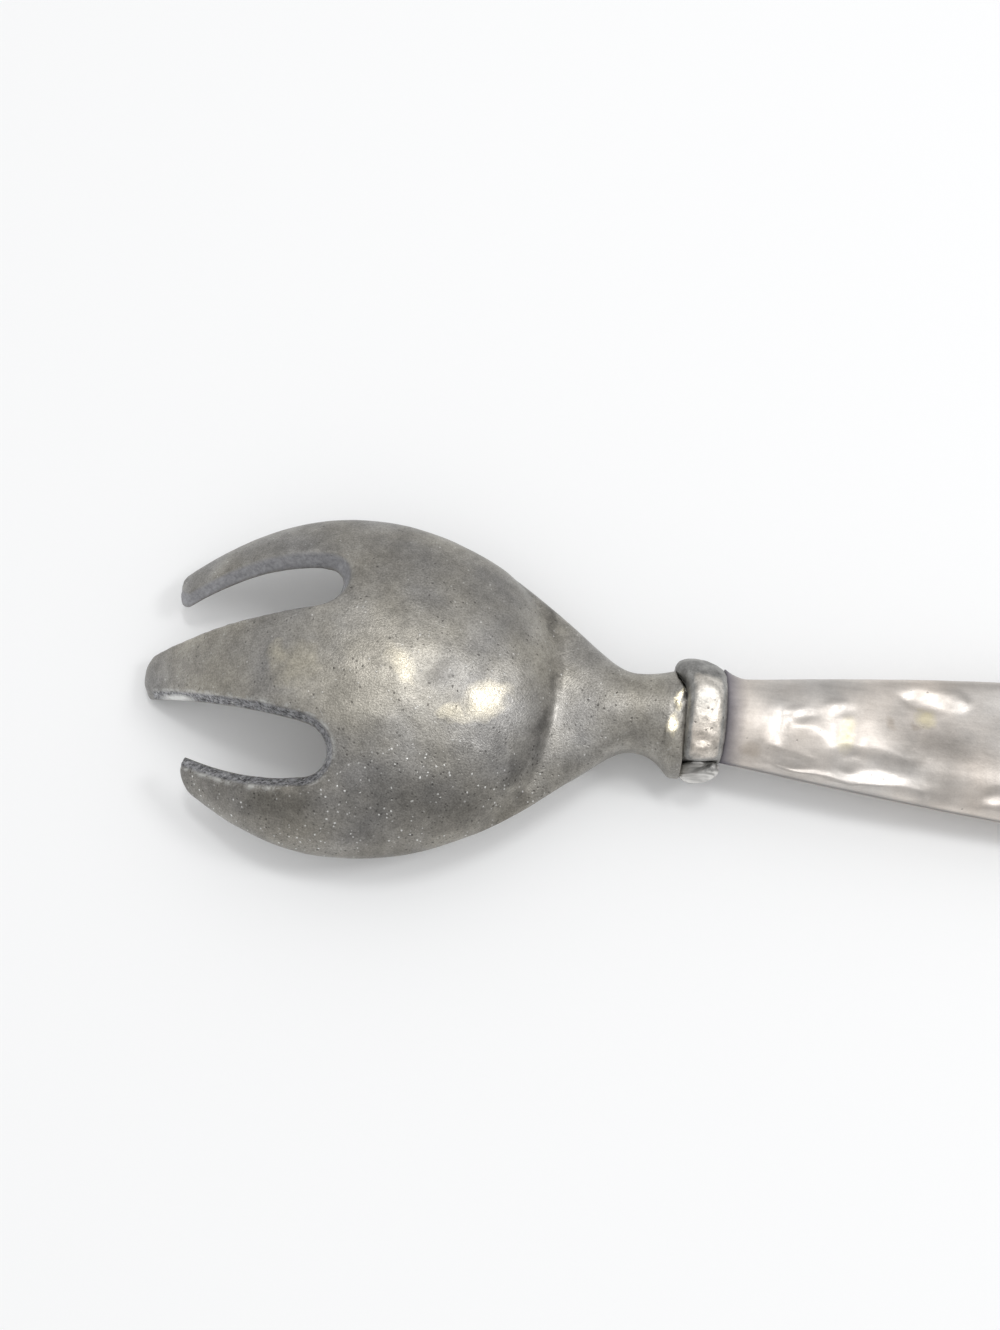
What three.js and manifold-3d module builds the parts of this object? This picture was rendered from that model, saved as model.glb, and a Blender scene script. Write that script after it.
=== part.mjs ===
// Salad serving spoon with a three-tined bowl, lying face down the way it rests on a table.
// Millimetres, +Z up. X runs from the tine tips to the end of the handle, Y = 0 is the plane
// down its middle, and Z = 0 is the table. The origin is the middle of the length, on the table.
// Below, "along" is a distance from the tip of the centre tine.

import * as THREE from "three";
import { mergeVertices } from "three/addons/utils/BufferGeometryUtils.js";
import Module from "manifold-3d";

const wasm = await Module();
wasm.setup();

// Lengths along the spoon
const NECK_AT = 93; // centre tine tip to the neck's waist
const SHOULDER_LENGTH = 7; // waist to the shoulder that the strap sits against
const HANDLE_LENGTH = 171; // handle's shoulder to its end

// Bowl: outline and dome
const BOWL_WIDTH = 65;
const FRONT_REACH = [13.1, 16.5]; // outline's -Y and +Y edges, level with the centre tip
const WIDEST_AT = 40;
const OUTLINE_FULLNESS = [1.09, 1.04]; // above 1 that side stays wide before it draws in to the neck
const OUTLINE_BLEND = 2.4; // how tightly the outline turns into the neck
const DOME_HEIGHT = 16.3; // crown over the rim
const SECTION_FULLNESS = 1.95; // across the bowl, where 2 is an ellipse
const CROWN_AT = 46;
const DOME_BACK_REACH = 33.5; // crown to where the dome would run out behind it
const DOME_FRONT_RISE = 0.95; // below 1 the dome rises early from the tip
const CREASE_SOFTNESS = 1.2; // how widely the dome blends into the neck behind it
const RIM_TURN = 8; // how sharply the dome turns down to the level rim behind the crown
const RIM_HEIGHT = 10.4;
const TINE_DROOP = 7.3; // how far the centre tip hangs below the rim
const DROOP_LENGTH = 30;
const BOWL_WALL = 4.2;
const RIM_WALL = 4.1;

// Tines and the two slots between them
const CENTRE_TIP_WIDTH = 6.2;
const CENTRE_ROOT_WIDTH = 19.3;
const CENTRE_TIP_ROUND = 1.6; // how far its corners are rounded back
const SIDE_TINE_REACH = [11.2, 5]; // along, of the -Y and +Y tips
const SIDE_TIP_WIDTH = [2.7, 5.1]; // across the -Y and +Y tines, seen from above
const SIDE_ROOT_WIDTH = [9.4, 10.4];
const SIDE_TIP_ROUND = [0.6, 2.2]; // how far the corners of a side tip are rounded back
const SIDE_TIP_SLANT = [2.4, 0]; // how far a side tip is set back at the outline
const SLOT_START = 33.6; // along, to where a slot's straight sides end
const SLOT_ROUND = [7.4, 6.1]; // length of each slot's rounded end
const CENTRE_DRAFT = 1.1; // how far the centre tine is wider on the inside of the bowl, on each side
const SIDE_DRAFT = 2.5; // the same at the side tines
const ROOT_DRAFT = 2; // the same at the rounded end of a slot
const TIP_WALL = 3.4;

// Neck, with the flared shoulder at its end
const NECK_WIDTH = 14.6;
const NECK_RISE = 5.6; // neck's top over the level of the rim
const NECK_FALL = 4.6; // its underside below that level
const NECK_SIDE = 1; // flat on the neck's sides, below that level
const HOLLOW_END = 62; // where the hollow of the bowl starts to close towards the neck
const SHOULDER_REACH = [11.3, 8.5]; // shoulder's -Y and +Y edges from the middle
const SHOULDER_RISE = 8.2;

// Handle
const ROOT_SIDE_STEP = 0.3; // how far the handle stands out at its shoulder, on each side
const ROOT_TOP_STEP = 1; // the same above and below
const ROOT_FLARE = 2.1; // how far the shoulder flares out to the strap, on the +Y side only
const ROOT_FLARE_LENGTH = 4.5;
const GRIP_WIDTH = 29;
const GRIP_HEIGHT = 8.2;
const SWELL_LENGTH = 88; // along the handle, until it is as wide as the grip
const END_ROUND = 20; // length of the rounded end
const END_THINNING = 0.55; // share of the grip's height left at the very end
const HEEL_SINK = 0.35; // depth ground off where the handle's end lies on the table
const HANDLE_WALL = 1.3;
const SEAM = 0.2; // solder between the two halves

// Joint under the strap
const SPIGOT_WIDTH = 14.8;
const SPIGOT_HEIGHT = 11.6;
const CLEARANCE = 0.3; // between pieces that are set into each other
const TANG_WIDTH = 7;
const TANG_HEIGHT = 4.4;
const TANG_TIP_SHARE = 0.7; // of its root size
const TANG_LENGTH = 58; // past the joint
const PIN_DIAMETER = 2.5;
const PIN_LENGTH = 13;
const PIN_AT = 32; // past the joint

// Strap
const STRAP_WIDTH = 8.4;
const STRAP_THICKNESS = 3.3;
const STRAP_START = -28; // degrees round the neck, from the -Y side up over the top
const STRAP_END = 360;
const SCARF_THICKNESS = 0.5; // the strap's start is hammered thin under its end
const SCARF_FROM = 8;
const SCARF_TO = 40;
const LAP_FROM = 270; // where the strap starts to climb over its own start
const LAP_TO = 328;

// Mesh steps
const TINE_ROWS = 10;
const BOWL_ROWS = 17;
const NECK_ROWS = 7;
const CENTRE_COLUMNS = 3; // on each side of the middle
const SLOT_COLUMNS = 6;
const SIDE_COLUMNS = 4;
const HANDLE_STEPS = 22;
const END_STEPS = 6;
const SECTION_STEPS = 24; // round a whole section of the handle
const STRAP_STEP = 10; // degrees

// Places that follow from the sizes above
const STRAP_SEAT = STRAP_WIDTH + 2 * CLEARANCE;
const HEAD_LENGTH = NECK_AT + SHOULDER_LENGTH;
const SPOON_LENGTH = HEAD_LENGTH + STRAP_SEAT + HANDLE_LENGTH;
const HANDLE_ROOT_WIDTH = SPIGOT_WIDTH + 2 * ROOT_SIDE_STEP;
const HANDLE_ROOT_HEIGHT = SPIGOT_HEIGHT + 2 * ROOT_TOP_STEP;
const JOINT_AT = HEAD_LENGTH + STRAP_SEAT / 2;
const ROOT_AT = HEAD_LENGTH + STRAP_SEAT;
const HEEL_AT = SPOON_LENGTH - END_ROUND;
const QUARTER = Math.PI / 2;

const { lerp, smoothstep, degToRad } = THREE.MathUtils;
const point = (along, y, z) => new THREE.Vector3(along - SPOON_LENGTH / 2, y, z);
const steps = (count) => Array.from({ length: count + 1 }, (_, i) => i / count);

// Solids and geometries

function geometryOf(points, triangles) {
  const geometry = new THREE.BufferGeometry().setFromPoints(points);
  geometry.setIndex(triangles);
  return geometry;
}

function solidOf(geometry) {
  const bare = geometry.clone();
  bare.deleteAttribute("normal");
  bare.deleteAttribute("uv");
  const merged = mergeVertices(bare, 1e-4);
  const mesh = new wasm.Mesh({
    numProp: 3,
    vertProperties: merged.attributes.position.array,
    triVerts: new Uint32Array(merged.index.array),
  });
  return new wasm.Manifold(mesh);
}

function geometryFrom(solid) {
  const { vertProperties, triVerts } = solid.getMesh();
  const geometry = new THREE.BufferGeometry();
  geometry.setAttribute("position", new THREE.BufferAttribute(vertProperties, 3));
  geometry.setIndex(new THREE.BufferAttribute(triVerts, 1));
  geometry.computeVertexNormals();
  return geometry;
}

// A closed solid through rings that each run counter-clockwise as seen from the last ring's end.
function loft(rings) {
  const count = rings[0].length;
  const points = rings.flat();
  const triangles = [];
  const index = (ring, k) => ring * count + (k % count);
  for (let ring = 0; ring + 1 < rings.length; ring++) {
    for (let k = 0; k < count; k++) {
      const [a, b] = [index(ring, k), index(ring, k + 1)];
      const [d, c] = [index(ring + 1, k), index(ring + 1, k + 1)];
      triangles.push(a, b, c, a, c, d);
    }
  }
  for (const [ring, turned] of [[0, true], [rings.length - 1, false]]) {
    const centre = points.length;
    const middle = new THREE.Vector3();
    rings[ring].forEach((p) => middle.addScaledVector(p, 1 / count));
    points.push(middle);
    for (let k = 0; k < count; k++) {
      const [a, b] = [index(ring, k), index(ring, k + 1)];
      triangles.push(centre, turned ? b : a, turned ? a : b);
    }
  }
  return solidOf(geometryOf(points, triangles));
}

// A closed plate between two grids of points, with walls along every edge of the cells that are kept.
function plate(top, bottom, kept) {
  const columns = top[0].length;
  const points = [...top.flat(), ...bottom.flat()];
  const upper = (i, j) => i * columns + j;
  const lower = (i, j) => top.length * columns + upper(i, j);
  const triangles = [];
  const quad = (a, b, c, d) => triangles.push(a, b, c, a, c, d);
  const inside = (i, j) =>
    i >= 0 && j >= 0 && i + 1 < top.length && j + 1 < columns && kept(i, j);
  for (let i = 0; i + 1 < top.length; i++) {
    for (let j = 0; j + 1 < columns; j++) {
      if (!inside(i, j)) continue;
      const corners = [[i, j], [i + 1, j], [i + 1, j + 1], [i, j + 1]];
      const beyond = [[i, j - 1], [i + 1, j], [i, j + 1], [i - 1, j]];
      quad(...corners.map(([r, c]) => upper(r, c)));
      quad(...[...corners].reverse().map(([r, c]) => lower(r, c)));
      beyond.forEach(([r, c], side) => {
        if (inside(r, c)) return;
        const [p, q] = [corners[side], corners[(side + 1) % 4]];
        quad(upper(...p), lower(...p), lower(...q), upper(...q));
      });
    }
  }
  return solidOf(geometryOf(points, triangles));
}

function roundBar(diameter, length) {
  return solidOf(new THREE.CylinderGeometry(diameter / 2, diameter / 2, length, 16));
}

// What lies under the table, cut from everything that touches it
function underTable() {
  const depth = RIM_HEIGHT;
  const slab = new THREE.BoxGeometry(2 * SPOON_LENGTH, 2 * BOWL_WIDTH, depth);
  return solidOf(slab.translate(0, 0, -depth / 2));
}

// Head: the bowl, its tines and its neck as one casting

// Sizes that come as a pair are for the -Y side and the +Y side
const onSide = (pair, side) => pair[side < 0 ? 0 : 1];

function halfWidth(along, side) {
  const widest = BOWL_WIDTH / 2;
  const waist = NECK_WIDTH / 2;
  if (along < WIDEST_AT) {
    const share = Math.sin(QUARTER * (along / WIDEST_AT));
    return lerp(onSide(FRONT_REACH, side), widest, share);
  }
  if (along < NECK_AT) {
    const share = (along - WIDEST_AT) / (NECK_AT - WIDEST_AT);
    const eased = (1 + Math.cos(Math.PI * share ** onSide(OUTLINE_FULLNESS, side))) / 2;
    return lerp(waist ** OUTLINE_BLEND, widest ** OUTLINE_BLEND, eased) ** (1 / OUTLINE_BLEND);
  }
  return lerp(waist, onSide(SHOULDER_REACH, side), flare(along));
}

// 0 at the neck's waist, 1 at the shoulder that flares out to the strap
function flare(along) {
  return Math.max(0, (along - NECK_AT) / SHOULDER_LENGTH) ** 2.4;
}

function rimLevel(along) {
  const share = Math.max(0, 1 - along / DROOP_LENGTH);
  return RIM_HEIGHT - TINE_DROOP * share ** 2;
}

// Share of its full height that a section has, at an angle across it from the middle to the rim
function domed(angle) {
  return Math.max(0, 1 - Math.abs(Math.sin(angle)) ** SECTION_FULLNESS) ** (1 / SECTION_FULLNESS);
}

// Height of the back of the spoon over the rim
function backHeight(along, angle) {
  if (along < CROWN_AT) {
    const share = (along / CROWN_AT) ** DOME_FRONT_RISE;
    return DOME_HEIGHT * Math.sin(QUARTER * share) * domed(angle);
  }
  const narrowed = halfWidth(along, angle) / halfWidth(CROWN_AT, angle);
  const across = Math.abs(Math.sin(angle));
  const behind = (along - CROWN_AT) / DOME_BACK_REACH;
  const atRim = Math.max(0, 1 - behind ** 2 - narrowed ** SECTION_FULLNESS);
  const inside = 1 - behind ** 2 - (narrowed * across) ** SECTION_FULLNESS;
  const left = Math.max(0, inside - atRim * across ** RIM_TURN);
  const dome = DOME_HEIGHT * left ** (1 / SECTION_FULLNESS);
  const neck = lerp(NECK_RISE, SHOULDER_RISE, flare(along)) * domed(angle);
  const softened = CREASE_SOFTNESS * domed(angle) * smoothstep(along, CROWN_AT, NECK_AT);
  return (dome + neck + Math.hypot(dome - neck, softened)) / 2;
}

function wallThickness(along) {
  return lerp(TIP_WALL, BOWL_WALL, smoothstep(along, 0, WIDEST_AT));
}

// 0 where the bowl is hollow, 1 where the neck is solid
function filledIn(along) {
  return smoothstep(along, HOLLOW_END, lerp(HOLLOW_END, NECK_AT, 0.75));
}

function rimThickness(along) {
  return (RIM_WALL * wallThickness(along) * (1 - filledIn(along))) / BOWL_WALL;
}

function backPoint(along, angle) {
  const y = halfWidth(along, angle) * Math.sin(angle);
  return point(along, y, rimLevel(along) + backHeight(along, angle));
}

function frontPoint(along, angle) {
  const filled = filledIn(along);
  const hollow = backHeight(along, angle) - wallThickness(along) * domed(angle);
  const fall = NECK_FALL * lerp(1, SHOULDER_RISE / NECK_RISE, flare(along));
  const solid = -NECK_SIDE - fall * domed(angle);
  const y = (halfWidth(along, angle) - rimThickness(along)) * Math.sin(angle);
  return point(along, y, rimLevel(along) + lerp(hollow, solid, filled));
}

// Angle across the spoon of the centre tine's edge and of a side tine's inner edge, on the back of
// the spoon (inner = 0) or on the inside of the bowl (inner = 1)
function slotAngles(along, side, inner) {
  const straight = Math.min(along, SLOT_START);
  const reach = onSide(SIDE_TINE_REACH, side);
  const width = halfWidth(straight, side);
  const centreWidth = lerp(CENTRE_TIP_WIDTH, CENTRE_ROOT_WIDTH, straight / SLOT_START);
  const tineShare = Math.max(0, (straight - reach) / (SLOT_START - reach));
  const tineWidth = lerp(onSide(SIDE_TIP_WIDTH, side), onSide(SIDE_ROOT_WIDTH, side), tineShare);
  const edges = [centreWidth / 2 + inner * CENTRE_DRAFT, width - tineWidth - inner * SIDE_DRAFT];
  return edges.map((y) => Math.asin(y / (width - inner * rimThickness(straight))));
}

// Columns of the head's grid: each has a zone of the spoon and a place across that zone.
function headColumns() {
  const half = [
    ...steps(CENTRE_COLUMNS).map((share) => ({ zone: "centre", share })),
    ...steps(SLOT_COLUMNS)
      .slice(1)
      .map((share) => ({ zone: "slot", share: (1 - Math.cos(Math.PI * share)) / 2 })),
    ...steps(SIDE_COLUMNS)
      .slice(1)
      .map((share) => ({ zone: "side", share })),
  ];
  const mirrored = half.slice(1).reverse();
  return [
    ...mirrored.map((column) => ({ ...column, sign: -1 })),
    ...half.map((column) => ({ ...column, sign: 1 })),
  ];
}

function columnAngle(column, along, inner) {
  const [centre, outer] = slotAngles(along, column.sign, inner);
  const bounds = { centre: [0, centre], slot: [centre, outer], side: [outer, QUARTER] }[column.zone];
  return column.sign * lerp(...bounds, column.share);
}

// Tine tips: where each column starts, with the corners of the tips rounded back
function columnStart({ zone, share, sign }) {
  if (zone === "centre") return CENTRE_TIP_ROUND * share ** 3;
  if (zone === "slot" && share < 1) return 0;
  const across = zone === "side" ? share : 0;
  const rounded = onSide(SIDE_TIP_ROUND, sign) * Math.abs(2 * across - 1) ** 3;
  return onSide(SIDE_TINE_REACH, sign) + rounded + onSide(SIDE_TIP_SLANT, sign) * across;
}

// Along each column: down the tines, round the slot's end, then on to the shoulder
function headRows(column, inner) {
  const tip = columnStart(column);
  const tineRows = steps(TINE_ROWS).map((share) => lerp(tip, SLOT_START, share));
  const arch = column.zone === "slot" ? Math.sqrt(1 - (2 * column.share - 1) ** 2) : 0;
  const depth = (onSide(SLOT_ROUND, column.sign) - inner * ROOT_DRAFT) * arch;
  const bowlRows = steps(BOWL_ROWS).map(
    (share) => lerp(SLOT_START, NECK_AT, share) + depth * (1 - share) ** 2,
  );
  const neckRows = steps(NECK_ROWS).map((share) => lerp(NECK_AT, HEAD_LENGTH, share));
  return [...tineRows.slice(0, -1), ...bowlRows, ...neckRows.slice(1)];
}

function bowlAndNeck() {
  const columns = headColumns();
  const grid = (place, inner) => {
    const rows = columns.map((column) => headRows(column, inner));
    return rows[0].map((_, i) =>
      columns.map((column, j) => place(rows[j][i], columnAngle(column, rows[j][i], inner))),
    );
  };
  const outer = (j) => (columns[j].sign < 0 ? columns[j] : columns[j + 1]);
  const kept = (i, j) => i >= TINE_ROWS || outer(j).zone !== "slot";
  return plate(grid(backPoint, 0), grid(frontPoint, 1), kept);
}

// An oval ring across the spoon, squarer than an ellipse where the power is above 2
function oval(along, { y = 0, z, width, height, power = 2, count = SECTION_STEPS }) {
  const bend = (value) => Math.sign(value) * Math.abs(value) ** (2 / power);
  const angles = steps(count).slice(1).map((share) => 2 * Math.PI * share);
  return angles.map((angle) =>
    point(along, y + (width / 2) * bend(Math.cos(angle)), z + (height / 2) * bend(Math.sin(angle))),
  );
}

// The part of such a ring on one side of its level, with half the solder seam left free
function halfOval(along, side, { z, height, ...rest }) {
  const ring = oval(along, { ...rest, z: 0, height: height - SEAM });
  const half = ring.length / 2;
  const arc = [ring.at(-1), ...ring.slice(0, half)];
  arc.forEach((p, i) => p.setZ(z + side * (i % half ? p.z + SEAM / 2 : SEAM / 2)));
  return side > 0 ? arc : arc.reverse();
}

function spigot(from, to, shrink = 0) {
  const [width, height] = [SPIGOT_WIDTH, SPIGOT_HEIGHT].map((side) => side - 2 * shrink);
  return loft([from, to].map((along) => oval(along, { z: RIM_HEIGHT, width, height })));
}

function tang(grow = 0) {
  const start = JOINT_AT - STRAP_SEAT / 4;
  const ring = (share) => {
    const along = lerp(start, JOINT_AT + TANG_LENGTH + grow, share);
    const scale = lerp(1, TANG_TIP_SHARE, share);
    const [width, height] = [TANG_WIDTH, TANG_HEIGHT].map((side) => side * scale + 2 * grow);
    return oval(along, { z: handleLevel(along), width, height, power: 5, count: 16 });
  };
  return loft(steps(5).map(ring));
}

function pin(grow = 0) {
  const along = JOINT_AT + PIN_AT;
  const place = point(along, 0, handleLevel(along));
  return roundBar(PIN_DIAMETER + 2 * grow, PIN_LENGTH + 2 * grow).translate(place.toArray());
}

function servingHead() {
  return bowlAndNeck()
    .add(spigot(HEAD_LENGTH - STRAP_SEAT / 6, JOINT_AT - CLEARANCE / 2))
    .add(tang())
    .subtract(pin(CLEARANCE))
    .subtract(underTable());
}

// Handle: two halves soldered along their edges, over a core that grips the tang

// Level of the seam. It comes down from the collar, and the heel of the handle lies on the table.
function handleLevel(along) {
  const share = THREE.MathUtils.clamp((along - ROOT_AT) / (HEEL_AT - ROOT_AT), 0, 1);
  return lerp(RIM_HEIGHT, GRIP_HEIGHT / 2 - HEEL_SINK, share ** 1.15);
}

// Section of the handle, drawn in by a skin from its outside
function handleSection(along, skin) {
  const past = along - ROOT_AT;
  const swell = Math.sin(QUARTER * Math.min(1, past / SWELL_LENGTH));
  const flared = ROOT_FLARE * Math.max(0, 1 - past / ROOT_FLARE_LENGTH) ** 2;
  const turn = Math.max(0, (along - HEEL_AT) / (END_ROUND - skin));
  const rounded = Math.sqrt(1 - turn ** 2);
  const width = lerp(HANDLE_ROOT_WIDTH, GRIP_WIDTH, swell) + flared - 2 * skin;
  const height = lerp(HANDLE_ROOT_HEIGHT, GRIP_HEIGHT, swell) - 2 * skin;
  return {
    y: flared / 2,
    z: handleLevel(along),
    width: width * rounded,
    height: height * lerp(END_THINNING, 1, rounded),
    power: lerp(2, 3, swell),
  };
}

// Stations from the shoulder to just short of the very end, closer together round the end
function handleStations(skin) {
  const root = steps(3).map((share) => ROOT_AT + lerp(skin, ROOT_FLARE_LENGTH, share));
  const grip = steps(HANDLE_STEPS).map((share) => lerp(ROOT_AT + ROOT_FLARE_LENGTH, HEEL_AT, share));
  const end = steps(END_STEPS).map(
    (share) => HEEL_AT + (END_ROUND - skin) * Math.sin(0.93 * QUARTER * share),
  );
  return [...root, ...grip.slice(1), ...end.slice(1)];
}

function handleHalf(side) {
  const mouth = JOINT_AT + CLEARANCE / 2;
  const shell = handleStations(0).map((along) => halfOval(along, side, handleSection(along, 0)));
  const collar = [mouth, ROOT_AT + HANDLE_WALL / 2].map((along) =>
    halfOval(along, side, { z: handleLevel(along), width: SPIGOT_WIDTH, height: SPIGOT_HEIGHT }),
  );
  return loft(shell)
    .add(loft(collar))
    .subtract(handleCore(HANDLE_WALL, mouth - CLEARANCE))
    .subtract(underTable());
}

// The handle's inside, drawn in by a skin and open at the joint
function handleCore(skin, mouth) {
  const rings = handleStations(skin).map((along) => oval(along, handleSection(along, skin)));
  return loft(rings).add(spigot(mouth, ROOT_AT + 2 * skin, skin));
}

function handleFiller() {
  return handleCore(HANDLE_WALL + CLEARANCE, JOINT_AT + CLEARANCE)
    .subtract(tang(CLEARANCE))
    .subtract(pin(CLEARANCE));
}

// Strap: a half-round strip bent once round the joint, with its end lapped over its start

function strapSection(degrees) {
  const turn = degToRad(degrees);
  const thickness = lerp(SCARF_THICKNESS, STRAP_THICKNESS, smoothstep(degrees, SCARF_FROM, SCARF_TO));
  const lift = smoothstep(degrees, LAP_FROM, LAP_TO) * (SCARF_THICKNESS + CLEARANCE);
  return steps(10).map((share) => {
    const bend = Math.PI * share;
    const along = JOINT_AT - (STRAP_WIDTH / 2) * Math.cos(bend);
    const away = CLEARANCE + lift + thickness * Math.sin(bend) ** 0.6;
    const y = -(SPIGOT_WIDTH / 2 + away) * Math.cos(turn);
    const z = RIM_HEIGHT + (SPIGOT_HEIGHT / 2 + away) * Math.sin(turn);
    return point(along, y, z);
  });
}

function collarStrap() {
  const count = Math.round((STRAP_END - STRAP_START) / STRAP_STEP);
  return loft(steps(count).map((share) => strapSection(lerp(STRAP_START, STRAP_END, share))));
}

// The spoon

const castGrey = new THREE.MeshStandardMaterial({ color: 0x8a8783, roughness: 0.55, metalness: 1 });
const polishedGrey = new THREE.MeshStandardMaterial({ color: 0xb4b0a8, roughness: 0.28, metalness: 1 });
const castResin = new THREE.MeshStandardMaterial({ color: 0x4a3f36, roughness: 0.9, metalness: 0 });
const pinSteel = new THREE.MeshStandardMaterial({ color: 0x9a9c9e, roughness: 0.4, metalness: 1 });

const spoon = new THREE.Group();
spoon.name = "salad_serving_spoon";

function addPiece(name, solid, material) {
  const mesh = new THREE.Mesh(geometryFrom(solid), material);
  mesh.name = name;
  spoon.add(mesh);
}

addPiece("serving_head", servingHead(), castGrey);
addPiece("collar_strap", collarStrap(), polishedGrey);
addPiece("handle_back_half", handleHalf(1), polishedGrey);
addPiece("handle_front_half", handleHalf(-1), polishedGrey);
addPiece("handle_filler", handleFiller(), castResin);
addPiece("tang_pin", pin(), pinSteel);

export default spoon;
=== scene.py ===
# %% [markdown]
# # A cast salad server with a hammered handle
# The server lies face down on a pale table. Its head is one rough casting, its handle is made of two
# hammered and polished halves, and a bent strap hides the joint. The solids are already made at their
# real size. Here each piece is modelled again with a finer surface, on the same forms, and gets its
# finish.

# %% Load the solids
import math

import bpy
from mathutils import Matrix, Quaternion, Vector
from mathutils import noise as lumps


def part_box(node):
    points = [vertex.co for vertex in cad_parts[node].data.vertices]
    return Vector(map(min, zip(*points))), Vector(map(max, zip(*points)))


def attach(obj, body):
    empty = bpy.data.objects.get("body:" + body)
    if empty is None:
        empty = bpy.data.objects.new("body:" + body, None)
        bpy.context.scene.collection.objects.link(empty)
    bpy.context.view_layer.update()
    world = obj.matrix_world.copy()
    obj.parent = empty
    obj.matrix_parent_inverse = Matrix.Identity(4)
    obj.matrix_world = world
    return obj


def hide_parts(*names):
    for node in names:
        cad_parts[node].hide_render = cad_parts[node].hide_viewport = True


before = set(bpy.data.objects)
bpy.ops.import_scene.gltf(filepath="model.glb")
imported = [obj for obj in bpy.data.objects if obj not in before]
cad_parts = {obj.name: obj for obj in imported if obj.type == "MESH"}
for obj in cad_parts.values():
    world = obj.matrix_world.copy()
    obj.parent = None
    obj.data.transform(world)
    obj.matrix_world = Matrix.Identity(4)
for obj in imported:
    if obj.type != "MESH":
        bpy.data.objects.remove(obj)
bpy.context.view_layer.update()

print("solids:", sorted(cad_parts))

# %% [markdown]
# ## Sizes
# The sizes are those of the solids, written in millimetres and turned to metres, and the lengths come
# from the solids themselves. "Along" is a distance from the tip of the centre tine, which lies at the
# low end of X. Sizes that come as a pair are for the side with negative Y and the side with positive Y.

# %% Places along the spoon
MM = 0.001
TIP_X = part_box("serving_head")[0].x
STRAP_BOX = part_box("collar_strap")
CLEARANCE = 0.3 * MM
SPOON_LENGTH = 280 * MM
STRAP_WIDTH = STRAP_BOX[1].x - STRAP_BOX[0].x
JOINT_AT = (STRAP_BOX[0].x + STRAP_BOX[1].x) / 2 - TIP_X
STRAP_SEAT = STRAP_WIDTH + 2 * CLEARANCE
HEAD_LENGTH = JOINT_AT - STRAP_SEAT / 2
ROOT_AT = JOINT_AT + STRAP_SEAT / 2
RIM_HEIGHT = 10.4 * MM
QUARTER = math.pi / 2
print(f"joint {JOINT_AT / MM:.1f} mm from the tip, strap {STRAP_WIDTH / MM:.1f} mm wide")


def lerp(start, end, share):
    return start + (end - start) * share


def smoothstep(value, start, end):
    share = min(1, max(0, (value - start) / (end - start)))
    return share * share * (3 - 2 * share)


def on_side(pair, side):
    return pair[0] if side < 0 else pair[1]


def point(along, y, z):
    return Vector((TIP_X + along, y, z))


# %% [markdown]
# ## Camera
# The photo was taken from nearly above with a short lens. The camera stands where the outline of the
# solids falls on the outline in the photo. A camera object can be aimed by a constraint or by hand;
# here its turn is worked out once from the point it looks at.

# %% Camera
LOOKS_AT = Vector((-72.85, 10, 0)) * MM
CAMERA_DISTANCE = 281 * MM
CAMERA_AZIMUTH = math.radians(5.9)
CAMERA_ELEVATION = math.radians(72)
HALF_VIEW = math.radians(19)
IMAGE_SHAPE = 1330 / 1000
SENSOR_WIDTH = 36
NEAR_CLIP = 10 * MM


def direction(azimuth, elevation):
    """A unit vector: azimuth 0 points along +X, and grows towards +Y."""
    flat = math.cos(elevation)
    return Vector((flat * math.cos(azimuth), flat * math.sin(azimuth), math.sin(elevation)))


def aim(piece, target, away, distance, roll=0):
    piece.location = target + away * distance
    turn = away.to_track_quat("Z", "Y") @ Quaternion((0, 0, 1), roll)
    piece.rotation_euler = turn.to_euler()


bpy.ops.object.select_all(action="DESELECT")
bpy.ops.object.camera_add()
camera = bpy.context.object
camera.name = "camera"
camera.data.sensor_width = SENSOR_WIDTH
camera.data.lens = SENSOR_WIDTH / 2 / (IMAGE_SHAPE * math.tan(HALF_VIEW))
camera.data.clip_start = NEAR_CLIP
aim(camera, LOOKS_AT, direction(CAMERA_AZIMUTH - QUARTER, CAMERA_ELEVATION), CAMERA_DISTANCE)
bpy.context.scene.camera = camera
bpy.context.scene.view_settings.view_transform = "Standard"
print(f"lens {camera.data.lens:.1f} mm")

# %% [markdown]
# ## Light
# A soft lamp to the right gives the bright patch behind the crown of the bowl, and one overhead gives the
# paler patch on the crown. The world fills the rest. Like most rooms it is brighter overhead than at the
# sides, and it is darkest on the camera's side. Together they light a white card to about white.

# %% Light
LAMPS = {
    "side_lamp": {"azimuth": 8, "elevation": 49, "roll": 10, "size": (0.22, 0.28), "power": 2.4},
    "top_lamp": {"azimuth": 72, "elevation": 76, "roll": -30, "size": (0.28, 0.16), "power": 1.9},
}
LAMP_DISTANCE = 1.2

lamp_places = {}
for name, lamp in LAMPS.items():
    bpy.ops.object.select_all(action="DESELECT")
    bpy.ops.object.light_add(type="AREA")
    light = bpy.context.object
    light.name = name
    light.data.shape = "RECTANGLE"
    light.data.size, light.data.size_y = lamp["size"]
    light.data.energy = lamp["power"]
    away = direction(math.radians(lamp["azimuth"]), math.radians(lamp["elevation"]))
    aim(light, LOOKS_AT, away, LAMP_DISTANCE, math.radians(lamp["roll"]))
    lamp_places[name] = light.location.copy()
print("lamps:", ", ".join(LAMPS))

# %% Room light
SIDES_GREY = 0.6
OVERHEAD_GREY = 0.94
CAMERA_SIDE = (-0.6, 0.1)
CAMERA_SIDE_SHARE = 0.88


def add_node(tree, kind, inputs=None, **settings):
    """Adds a shader node. An input is a number, a colour or the output of another node."""
    node = tree.nodes.new("ShaderNode" + kind)
    for key, value in settings.items():
        setattr(node, key, value)
    for key, value in (inputs or {}).items():
        if isinstance(value, bpy.types.NodeSocket):
            tree.links.new(value, node.inputs[key])
        else:
            node.inputs[key].default_value = value
    return node


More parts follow.
